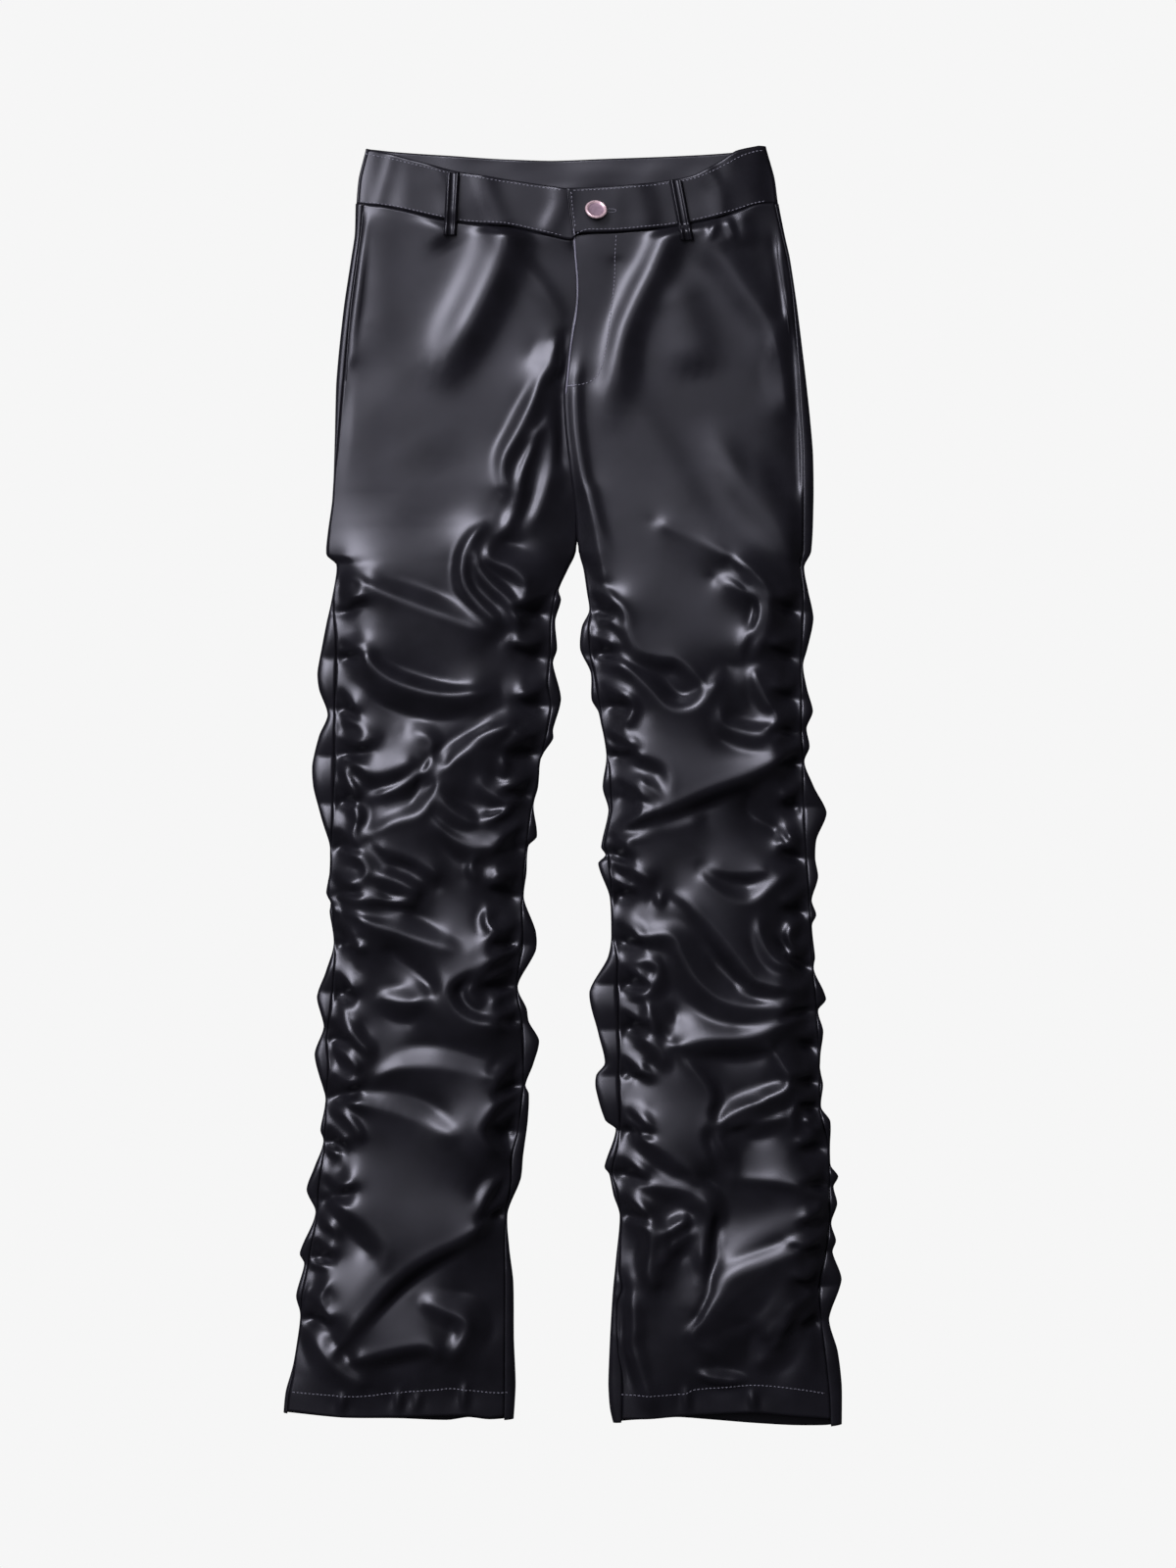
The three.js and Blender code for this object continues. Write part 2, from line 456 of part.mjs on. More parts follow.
// A thin closed wall from a grid of outside points. Its inside is those points moved in along their normals.
function wall(grid, thicknessAt, flip, endNormal) {
  const rows = grid.length;
  const cols = grid[0].length;
  const outside = grid.flat();
  const at = (r, c) => grid[clamp(r, 0, rows - 1)][clamp(c, 0, cols - 1)];
  const inside = [];
  for (let r = 0; r < rows; r++) {
    for (let c = 0; c < cols; c++) {
      const across = new THREE.Vector3().subVectors(at(r, c + 1), at(r, c - 1));
      const down = new THREE.Vector3().subVectors(at(r + 1, c), at(r - 1, c));
      const normal = across.cross(down).normalize().multiplyScalar(flip);
      const forced = endNormal ? endNormal(r, c) : null;
      if (forced) normal.copy(forced).normalize();
      inside.push(grid[r][c].clone().addScaledVector(normal, -thicknessAt(r, c)));
    }
  }
  const positions = [...outside, ...inside].flatMap((p) => [p.x, p.y, p.z]);
  const shift = rows * cols;
  const index = [];
  const quad = (a, b, c, d) => (flip > 0 ? index.push(a, b, c, a, c, d) : index.push(a, c, b, a, d, c));
  const id = (r, c) => r * cols + c;
  for (let r = 0; r < rows - 1; r++) {
    for (let c = 0; c < cols - 1; c++) {
      quad(id(r, c), id(r, c + 1), id(r + 1, c + 1), id(r + 1, c));
      quad(id(r, c) + shift, id(r + 1, c) + shift, id(r + 1, c + 1) + shift, id(r, c + 1) + shift);
    }
  }
  const rim = [];
  for (let c = 0; c < cols - 1; c++) rim.push(id(0, c));
  for (let r = 0; r < rows - 1; r++) rim.push(id(r, cols - 1));
  for (let c = cols - 1; c > 0; c--) rim.push(id(rows - 1, c));
  for (let r = rows - 1; r > 0; r--) rim.push(id(r, 0));
  rim.forEach((a, i) => {
    const b = rim[(i + 1) % rim.length];
    quad(a, a + shift, b + shift, b);
  });
  const geometry = new THREE.BufferGeometry();
  geometry.setAttribute("position", new THREE.Float32BufferAttribute(positions, 3));
  geometry.setIndex(index);
  geometry.computeVertexNormals();
  return geometry;
}

// Row positions down a leg: wide steps over the hips, close ones through the folds.
const LEG_TOP = 500;
const LEG_BOTTOM = -545;
function rowStations() {
  const list = [];
  const hipEnd = 225;
  const hips = Math.round((LEG_TOP - hipEnd) / HIP_ROW_STEP);
  for (let i = 0; i < hips; i++) list.push(mix(LEG_TOP, hipEnd, i / hips));
  list.push(hipEnd, 212, CROTCH_Y + 0.5, 198);
  const low = 190;
  const legs = Math.round((low - LEG_BOTTOM) / LEG_ROW_STEP);
  for (let i = 0; i <= legs; i++) list.push(mix(low, LEG_BOTTOM, i / legs));
  return list;
}
const STATIONS = rowStations();

// A station's true y at x: the first rows follow the waist seam and the last ones the hem.
function rowY(y, x, waist, hem) {
  const top = ease((y - 430) / (LEG_TOP - 430));
  const bottom = ease((LEG_BOTTOM + 60 - y) / 60);
  return y + (along(waist, x) - SEAM_GAP - LEG_TOP) * top + (along(hem, x) - LEG_BOTTOM) * bottom;
}
const clothAt = (y) => (y < LEG_BOTTOM + HEM_DEPTH ? HEM_CLOTH : CLOTH);

function endTilt(seam, side) {
  const angle = (Math.PI / 2) * seam.turn;
  return new THREE.Vector3(side * Math.cos(angle), 0, Math.sin(angle));
}

// The two seams of a panel at one station, taken at the height down the leg where that row meets them.
function seamsAt(leg, station, waist, hem) {
  const outY = rowY(station, along(leg.outseam, station), waist, hem);
  const innY = rowY(station, along(leg.inseam, station), waist, hem);
  return { out: outseamAt(leg, outY), inn: inseamAt(leg, innY) };
}

function frontPanel(leg) {
  const ends = STATIONS.map((y) => seamsAt(leg, y, WAIST_SEAM, FRONT_HEM));
  const grid = STATIONS.map((y, r) => {
    const { out, inn } = ends[r];
    const start = out.x + (leg.sign * SEAM_GAP) / 2;
    const stop = inn.x - (leg.sign * SEAM_GAP) / 2;
    const row = [];
    for (let c = 0; c <= FRONT_COLUMNS; c++) {
      const u = c / FRONT_COLUMNS;
      const x = mix(start, stop, u - SEAM_CLOSENESS * Math.sin(2 * Math.PI * u));
      const trueY = rowY(y, x, WAIST_SEAM, FRONT_HEM);
      const sewn = c === 0 ? out : c === FRONT_COLUMNS ? inn : null;
      const z = sewn ? sewn.z + (1 - sewn.turn) * SEAM_GAP / 2 : frontHeight(leg, x, trueY);
      row.push(new THREE.Vector3(x, trueY, z));
    }
    return row;
  });
  const forced = (r, c) => {
    if (c === 0) return endTilt(ends[r].out, -leg.sign);
    if (c === FRONT_COLUMNS) return endTilt(ends[r].inn, leg.sign);
    return null;
  };
  return wall(grid, (r) => clothAt(STATIONS[r]), -leg.sign, forced);
}

// The rolled side of a back panel, from its seam down to the surface it rests on.
const FLOOR_IN = 5;
function roll(seam, inward) {
  const gap = Math.abs(seam.x - seam.edge);
  const t = seam.turn;
  const high = seam.full;
  return [
    [seam.x - (inward * SEAM_GAP) / 2, seam.z - ((1 - t) * SEAM_GAP) / 2],
    [seam.edge + inward * mix(0.2, gap * 0.35 + 0.6, t), high * mix(0.36, 0.86, t)],
    [seam.edge + inward * mix(1.2, 0, t), high * mix(0.16, 0.42, t)],
    [seam.edge + inward * FLOOR_IN, 0],
  ];
}

function backPanel(leg) {
  const ends = STATIONS.map((y) => seamsAt(leg, y, BACK_SEAM, BACK_HEM));
  const grid = STATIONS.map((y, r) => {
    const { out, inn } = ends[r];
    const outer = roll(out, leg.sign);
    const centre = inn.edge - (leg.sign * SEAM_GAP) / 2;
    const innerRoll = y >= CROTCH_Y
      ? [12, 7, 3, 0].map((back) => [centre - leg.sign * back, 0])
      : roll(inn, -leg.sign).reverse();
    const middle = [mix(outer[3][0], innerRoll[0][0], 0.5), 0];
    const section = [...outer, middle, ...innerRoll];
    return section.map(([x, z]) => new THREE.Vector3(x, rowY(y, x, BACK_SEAM, BACK_HEM), z));
  });
  const last = grid[0].length - 1;
  const forced = (r, c) => {
    const y = STATIONS[r];
    if (c === 0) return endTilt(ends[r].out, -leg.sign);
    if (c === last && y < CROTCH_Y) return endTilt(ends[r].inn, leg.sign);
    const flat = (c >= 3 && c <= last - 3) || (y >= CROTCH_Y && c > 3);
    return flat ? new THREE.Vector3(0, 0, -1) : null;
  };
  return wall(grid, (r) => clothAt(STATIONS[r]), leg.sign, forced);
}

// Waistband. The front halves run from the side folds to the closure, where the right half laps over the left.
const BAND_ROWS = 4;
const BAND_ENDS = { left: -180, right: 188 }; // where the front halves meet the sides
const BAND_SIDE = 5; // height of the band's outside at its ends
const BAND_RISE = 48; // how far in from its ends the band reaches its full height
const LAP = 36; // how far the left half reaches under the right one
const LAP_RISE = BAND_CLOTH + 0.5;
const LAP_START = 75; // the right half rises over the left one from here
const LAP_RUN = 30;
const SEAM_STEP = [8.9, 9.6]; // the waist seam steps up between these at the closure
const CLOSURE_X = 4;
const BAND_SEAM_HEIGHT = 15;
const BAND_TOP_HEIGHT = 10.5;
function bandHeight(x, y) {
  const fromSide = Math.min(x - BAND_ENDS.left, BAND_ENDS.right - x);
  const low = along(WAIST_SEAM, x);
  const share = clamp((y - low) / (along(FRONT_TOP, x) - low), 0, 1);
  const middle = mix(BAND_SEAM_HEIGHT, BAND_TOP_HEIGHT, share);
  return mix(BAND_SIDE, middle, ease(fromSide / BAND_RISE));
}
function frontBand(side) {
  const right = side === "right";
  const sign = right ? -1 : 1;
  const columns = 16;
  const edgeLine = right ? RIGHT_EDGE : LEFT_EDGE;
  const grid = [];
  for (let r = 0; r <= BAND_ROWS; r++) {
    const share = 1 - r / BAND_ROWS;
    const row = [];
    for (let c = 0; c <= columns; c++) {
      const u = c / columns;
      const closure = right ? CLOSURE_X + (1 - share) * 5 : CLOSURE_X + LAP;
      const rough = mix(BAND_ENDS[side], closure, u);
      const under = !right && rough > SEAM_STEP[0];
      const low = along(WAIST_SEAM, under ? Math.max(rough, SEAM_STEP[1]) : rough) + SEAM_GAP + (under ? 1 : 0);
      const y = mix(low, along(FRONT_TOP, rough), share);
      const end = along(edgeLine, y) + sign * 2;
      const x = mix(end, closure, u);
      const lapped = right ? LAP_RISE * ease((LAP_START - x) / LAP_RUN) : 0;
      row.push(new THREE.Vector3(x, y, bandHeight(x, y) + lapped));
    }
    grid.push(row);
  }
  const up = new THREE.Vector3(0, 0, 1);
  const out = new THREE.Vector3(-sign, 0, 0.3);
  return wall(grid, () => BAND_CLOTH, -sign, (r, c) => (c === 0 ? out : c === columns ? up : null));
}
function backBand() {
  const shares = [0.06, 0.2, 0.35, 0.5, 0.65, 0.8, 0.94]; // across the flat part
  const grid = [];
  for (let r = 0; r <= BAND_ROWS; r++) {
    const share = 1 - r / BAND_ROWS;
    const yAt = (x) => mix(along(BACK_SEAM, x) + SEAM_GAP, along(BACK_TOP, x), share);
    const leftY = yAt(-178);
    const rightY = yAt(184);
    const left = along(LEFT_EDGE, leftY);
    const right = along(RIGHT_EDGE, rightY);
    const top = BAND_SIDE - 2.9;
    const profile = [[left + 0.4, top], [left + 1.6, 0.7], [left + 4.5, 0]];
    const floor = shares.map((s) => [mix(left, right, s), 0]);
    const close = [[right - 4.5, 0], [right - 1.6, 0.7], [right - 0.4, top]];
    grid.push([...profile, ...floor, ...close].map(([x, z]) => new THREE.Vector3(x, yAt(x), z)));
  }
  const last = grid[0].length - 1;
  return wall(grid, () => BAND_CLOTH, 1, (r, c) => {
    if (c === 0) return new THREE.Vector3(-1, 0, -0.2);
    if (c === last) return new THREE.Vector3(1, 0, -0.2);
    return c > 1 && c < last - 1 ? new THREE.Vector3(0, 0, -1) : null;
  });
}

// Belt loop: a doubled strip with two raised edges, held at both ends and bowed between them.
const LOOP_WIDTH = 10.5;
const LOOP_CLOTH = 1.6;
const LOOP_BOW = 2;
const LOOP_SEAT = 0.7;
const LOOP_REACH = 5; // the loop rides on what is this near
function beltLoop(top, foot, surfaceAt) {
  const rows = 9;
  const profile = [[-0.5, 0.1], [-0.3, 0.9], [0, 0.2], [0.3, 0.9], [0.5, 0.1]];
  const grid = [];
  for (let r = 0; r <= rows; r++) {
    const t = r / rows;
    grid.push(profile.map(([share, ridge]) => {
      const x = mix(top[0], foot[0], t) + share * LOOP_WIDTH;
      const y = mix(top[1], foot[1], t);
      const z = surfaceAt(x, y) + LOOP_CLOTH + LOOP_SEAT + ridge + LOOP_BOW * Math.sin(Math.PI * t);
      return new THREE.Vector3(x, y, z);
    }));
  }
  return wall(grid, () => LOOP_CLOTH, -1, () => new THREE.Vector3(0, 0, 1));
}

// Shank button: a dished cap with a rolled rim on a short stem, tipped with the band.
const BUTTON = { x: 28.5, y: 499, radius: 9, rim: 1.1, cap: 2.4, stem: 3.2, stemLength: 2.4, tip: 0.3 };
function button() {
  const { radius, rim, cap, stem, stemLength } = BUTTON;
  const outline = [
    [0, 0], [stem, 0], [stem, stemLength], [radius - 1, stemLength], [radius, stemLength + rim],
    [radius - 0.5, stemLength + cap], [radius - 1.6, stemLength + cap], [radius - 2.2, stemLength + cap - 0.5],
    [0, stemLength + cap - 0.3],
  ].map(([r, h]) => new THREE.Vector2(r, h));
  return new THREE.LatheGeometry(outline, 20);
}

const leather = new THREE.MeshStandardMaterial({ color: 0x17171a, roughness: 0.34, metalness: 0 });
const bandLeather = new THREE.MeshStandardMaterial({ color: 0x19191c, roughness: 0.36, metalness: 0 });
const copper = new THREE.MeshStandardMaterial({ color: 0xb27f78, roughness: 0.3, metalness: 0.9 });

const trousers = new THREE.Group();
function add(name, geometry, material) {
  const mesh = new THREE.Mesh(geometry, material);
  mesh.name = name;
  trousers.add(mesh);
  return mesh;
}

add("front_left", frontPanel(LEGS.left), leather);
add("front_right", frontPanel(LEGS.right), leather);
add("back_left", backPanel(LEGS.left), leather);
add("back_right", backPanel(LEGS.right), leather);
add("waistband_left", frontBand("left"), bandLeather);
add("waistband_right", frontBand("right"), bandLeather);
add("waistband_back", backBand(), bandLeather);

const carried = (leg) => (x, y) => {
  const seam = along(WAIST_SEAM, x);
  const fronts = [-LOOP_REACH, 0, LOOP_REACH].map((dx) => frontHeight(leg, x + dx, Math.min(y, seam)));
  const band = bandHeight(x, y);
  return mix(band, Math.max(band, ...fronts), ease((seam + 12 - y) / 10));
};
add("belt_loop_left", beltLoop([-94.5, 532.5], [-97.5, 478], carried(LEGS.left)), bandLeather);
add("belt_loop_right", beltLoop([98, 526], [108, 473.5], carried(LEGS.right)), bandLeather);

const snap = add("button", button(), copper);
const buttonSeat = bandHeight(BUTTON.x, BUTTON.y) + LAP_RISE;
snap.rotation.x = Math.PI / 2 - BUTTON.tip;
snap.position.set(BUTTON.x, BUTTON.y, buttonSeat + 1.3);

// The footprint is centred on the origin.
const footprint = new THREE.Box3().setFromObject(trousers);
const middle = footprint.getCenter(new THREE.Vector3());
trousers.position.set(-middle.x, -middle.y, -footprint.min.z);

export default trousers;
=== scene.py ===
import math
import random

import bmesh
import bpy
import numpy as np
from mathutils import Matrix, Vector, noise


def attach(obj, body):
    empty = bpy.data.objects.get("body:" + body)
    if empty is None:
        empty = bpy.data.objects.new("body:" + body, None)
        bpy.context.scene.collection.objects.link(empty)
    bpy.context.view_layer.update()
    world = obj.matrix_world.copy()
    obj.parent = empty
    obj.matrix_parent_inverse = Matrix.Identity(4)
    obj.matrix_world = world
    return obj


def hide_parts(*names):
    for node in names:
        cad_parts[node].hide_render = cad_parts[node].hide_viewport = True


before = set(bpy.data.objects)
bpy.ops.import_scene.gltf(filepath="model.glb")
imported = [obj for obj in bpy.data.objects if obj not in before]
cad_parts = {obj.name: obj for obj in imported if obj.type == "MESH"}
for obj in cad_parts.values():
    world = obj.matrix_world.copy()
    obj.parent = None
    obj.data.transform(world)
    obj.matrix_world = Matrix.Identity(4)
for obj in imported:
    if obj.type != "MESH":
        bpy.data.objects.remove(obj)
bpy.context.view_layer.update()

bl_info = {
    "name": "Ruched leather trousers",
    "version": (1, 0, 0),
    "blender": (4, 5, 0),
    "location": "3D View > Sidebar > Trousers",
    "description": "Black leather trousers with stacked legs, laid flat on a pale floor",
    "category": "Object",
}

MM = 0.001

# Tables and sizes are in millimetres, +Y towards the waist. All of it is moved by this to centre the footprint.
CENTRING = (-0.4, -0.16)

SEAM_GAP = 0.3
LEG_TOP = 500         # first row of a leg's grids
LEG_BOTTOM = -545     # last row
WAIST_BEND = 70       # length over which their rows bend to the waist line
HEM_BEND = 60         # and to the hem line
CROTCH_Y = 203

LEG_HEIGHT = 15       # height of a front over the surface, without its folds
HIP_HEIGHT = 12.5     # the same at the hips
HIP_START = 180       # y where the one turns into the other
HIP_RUN = 120         # over this length
SEAM_LOW = 7          # height of a side seam at a tack
SEAM_HIGH = 10.5      # and half-way between two
EDGE_RUN = 22         # how far in from a seam a front has its full height

# Silhouette and seams of each leg: (y, x) from the waist down.
CENTRE_SEAM = (
    (560, 9), (478, 9), (450, 12), (420, 12), (395, 8), (365, 4.5), (340, 1.5), (310, 3), (270, 8),
    (240, 12),
)
RIGHT_CENTRE_SEAM = tuple((y, x + SEAM_GAP) for y, x in CENTRE_SEAM)
LEFT_EDGE = (
    (560, -171), (554, -172), (530, -178), (508, -180), (480, -181), (460, -184), (420, -190),
    (380, -194.5), (350, -197), (300, -198.5), (250, -200), (222, -204), (202, -205.5), (194, -197),
    (178, -198), (150, -204), (125, -209), (100, -213.5), (85, -212), (63, -204.5), (45, -212), (20, -218),
    (0, -217), (-25, -210.5), (-52, -202.5), (-75, -202.5), (-92, -206), (-100, -201.5), (-108, -203),
    (-135, -199), (-160, -206), (-182, -214), (-208, -208), (-232, -216), (-262, -208.5), (-272, -206),
    (-298, -211), (-308, -208), (-330, -216), (-350, -223), (-370, -215), (-405, -229), (-414, -225),
    (-442, -232), (-460, -228), (-500, -234), (-525, -241), (-545, -243), (-560, -243),
)
LEFT_OUTSEAM = (
    (560, -170), (508, -173.5), (480, -176), (450, -180), (400, -186), (350, -190.5), (300, -195.5),
    (250, -199.5), (202, -204.5), (194, -195.5), (160, -199.5), (130, -196.5), (100, -196.5), (68, -198),
    (27, -198), (-14, -199), (-50, -201), (-94, -203.5), (-108, -200), (-136, -198), (-178, -199.5),
    (-219, -205), (-240, -203), (-271, -205.5), (-308, -207), (-350, -212), (-370, -213.5), (-408, -220),
    (-440, -226), (-460, -227.5), (-500, -232.5), (-530, -238), (-560, -240),
)
LEFT_INNER = CENTRE_SEAM + (
    (203, 11), (190, 5), (172, -3), (163, -1), (145, -6), (120, -4.5), (108, -8), (77, -1), (50, -8),
    (42, -8), (25, -19), (0, -21), (-15, -25), (-43, -22), (-51, -29.5), (-75, -31), (-96, -33.5),
    (-125, -23), (-142, -23), (-173, -39), (-192, -31), (-204, -29), (-220, -20), (-240, -25), (-259, -32),
    (-266, -29), (-290, -30), (-320, -34), (-340, -36), (-370, -47.5), (-400, -46), (-430, -42.5),
    (-480, -42), (-520, -40.5), (-560, -43),
)
LEFT_INSEAM = CENTRE_SEAM + (
    (203, 10), (190, 3.5), (170, -5.5), (150, -9.5), (112, -11), (90, -13), (70, -10), (50, -13),
    (30, -17.5), (0, -23), (-9, -25.5), (-50, -31.5), (-95, -35), (-137, -35), (-173, -40), (-205, -35),
    (-259, -34), (-300, -39), (-320, -44), (-345, -45), (-370, -49.5), (-450, -50), (-527, -50.5),
    (-560, -51),
)
RIGHT_EDGE = (
    (560, 177), (555, 178), (530, 185), (508, 188), (480, 193.5), (460, 198), (420, 204), (370, 210),
    (325, 215), (290, 218), (250, 218.5), (205, 216.5), (192, 210.5), (170, 214), (147, 218.5), (120, 213),
    (106, 209.5), (85, 213), (66, 218), (52, 212.5), (35, 215), (22, 210.5), (0, 219), (-22, 230),
    (-45, 221), (-62, 220), (-78, 222.5), (-98, 217), (-111, 221), (-120, 217), (-148, 220), (-158, 218.5),
    (-184, 229.5), (-194, 222.5), (-212, 227), (-243, 223.5), (-258, 227), (-278, 225), (-290, 233),
    (-328, 233), (-338, 240), (-347, 236), (-362, 239), (-379, 234), (-394, 238), (-404, 235), (-428, 243),
    (-462, 232), (-490, 239.5), (-520, 243), (-560, 243),
)
RIGHT_OUTSEAM = (
    (560, 175), (508, 184), (490, 188), (460, 195), (430, 199.5), (380, 203.5), (330, 206.5), (290, 208.5),
    (205, 209), (195, 207), (170, 209), (152, 209), (112, 207.5), (85, 207.5), (47, 207.5), (22, 209),
    (-17, 209), (-62, 212), (-109, 215), (-157, 217.5), (-192, 220.5), (-257, 224), (-279, 223.5),
    (-312, 231), (-378, 232), (-403, 229), (-433, 223), (-460, 224.5), (-500, 229), (-530, 232),
    (-560, 233),
)
RIGHT_INNER = RIGHT_CENTRE_SEAM + (
    (203, 14.5), (190, 18), (170, 21), (154, 23), (140, 16.5), (120, 15), (100, 24), (76, 25), (65, 31),
    (30, 38), (0, 34.5), (-20, 39.5), (-52, 33), (-59, 37), (-66, 30.5), (-95, 40.5), (-130, 42),
    (-148, 39), (-178, 23), (-215, 31), (-240, 36.5), (-250, 29), (-262, 28.5), (-290, 37), (-297, 46),
    (-330, 36), (-336, 40), (-355, 44), (-372, 49.5), (-410, 46), (-450, 42.5), (-500, 40), (-520, 39.5),
    (-540, 41), (-560, 46),
)
RIGHT_INSEAM = RIGHT_CENTRE_SEAM + (
    (203, 15.5), (190, 19), (170, 22), (154, 24.5), (140, 22.5), (115, 24.5), (90, 29), (72, 32.5),
    (50, 34.5), (28, 39), (0, 42), (-20, 42), (-50, 36), (-59, 39.5), (-80, 42), (-96, 43), (-130, 44),
    (-150, 47.5), (-172, 48), (-210, 49), (-250, 49), (-297, 49.5), (-335, 43), (-350, 47), (-372, 51),
    (-400, 49.5), (-420, 49), (-435, 51.5), (-450, 47), (-490, 48.5), (-510, 52), (-560, 51),
)
# Heights down each seam where the gathers are tacked.
LEFT_OUT_TACKS = (196, 152, 112, 68, 27, -14, -51, -94, -136, -178, -219, -270, -308, -358, -409, -460)
LEFT_IN_TACKS = (190, 150, 112, 70, 30, -9, -51, -95, -137, -173, -205, -259, -299, -369)
RIGHT_OUT_TACKS = (
    196, 152, 112, 76, 48, 22, -17, -62, -109, -157, -192, -226, -257, -279, -312, -345, -378, -403, -433, -462,
)
RIGHT_IN_TACKS = (190, 153, 115, 71, 28, -8, -59, -95, -133, -171, -210, -250, -297, -335, -372)

# Waistband and hem lines: (x, y).
WAIST_SEAM = (
    (-185, 508), (-150, 503), (-90, 490), (-45, 486.5), (-10, 478.5), (8.9, 475), (9.4, 480), (50, 482),
    (90, 486), (118, 491), (145, 497.5), (172, 506.5), (195, 508),
)
FRONT_TOP = (
    (-176, 554), (-140, 545), (-95, 534), (-50, 527), (-10, 521), (3, 519), (50, 521), (90, 525.5), (118, 531),
    (145, 544), (160, 552), (182, 557),
)
BACK_TOP = (
    (-176, 555.5), (-150, 552.5), (-50, 546.3), (-10, 545), (50, 547), (100, 549), (150, 552), (182, 557.6),
)
BACK_SEAM = ((-185, 507.5), (-100, 504), (0, 502), (100, 504), (195, 507.5))
FRONT_HEM = (
    (-245, -541), (-192, -545.5), (-143, -545.5), (-100, -544.5), (-82, -544.5), (-64, -547), (-40, -545),
    (40, -549), (60, -548), (80, -547), (100, -545), (128, -543.5), (165, -542), (200, -545), (232, -548),
    (245, -550),
)
BACK_HEM = (
    (-245, -543), (-192, -548.5), (-143, -549), (-100, -550.5), (-82, -548), (-64, -550), (-40, -548.5),
    (40, -552), (60, -550.5), (80, -549.5), (100, -548), (128, -550), (165, -553), (200, -555), (228, -555),
    (245, -553),
)

# The J of stitches down the fly, over the crease that they draw: (x, y).
FLY_STITCHES = (
    (46.5, 479), (45.5, 460), (45, 440), (43, 420), (41, 405), (39, 390), (36, 372), (32, 360), (26, 353),
    (15, 349), (5, 349),
)

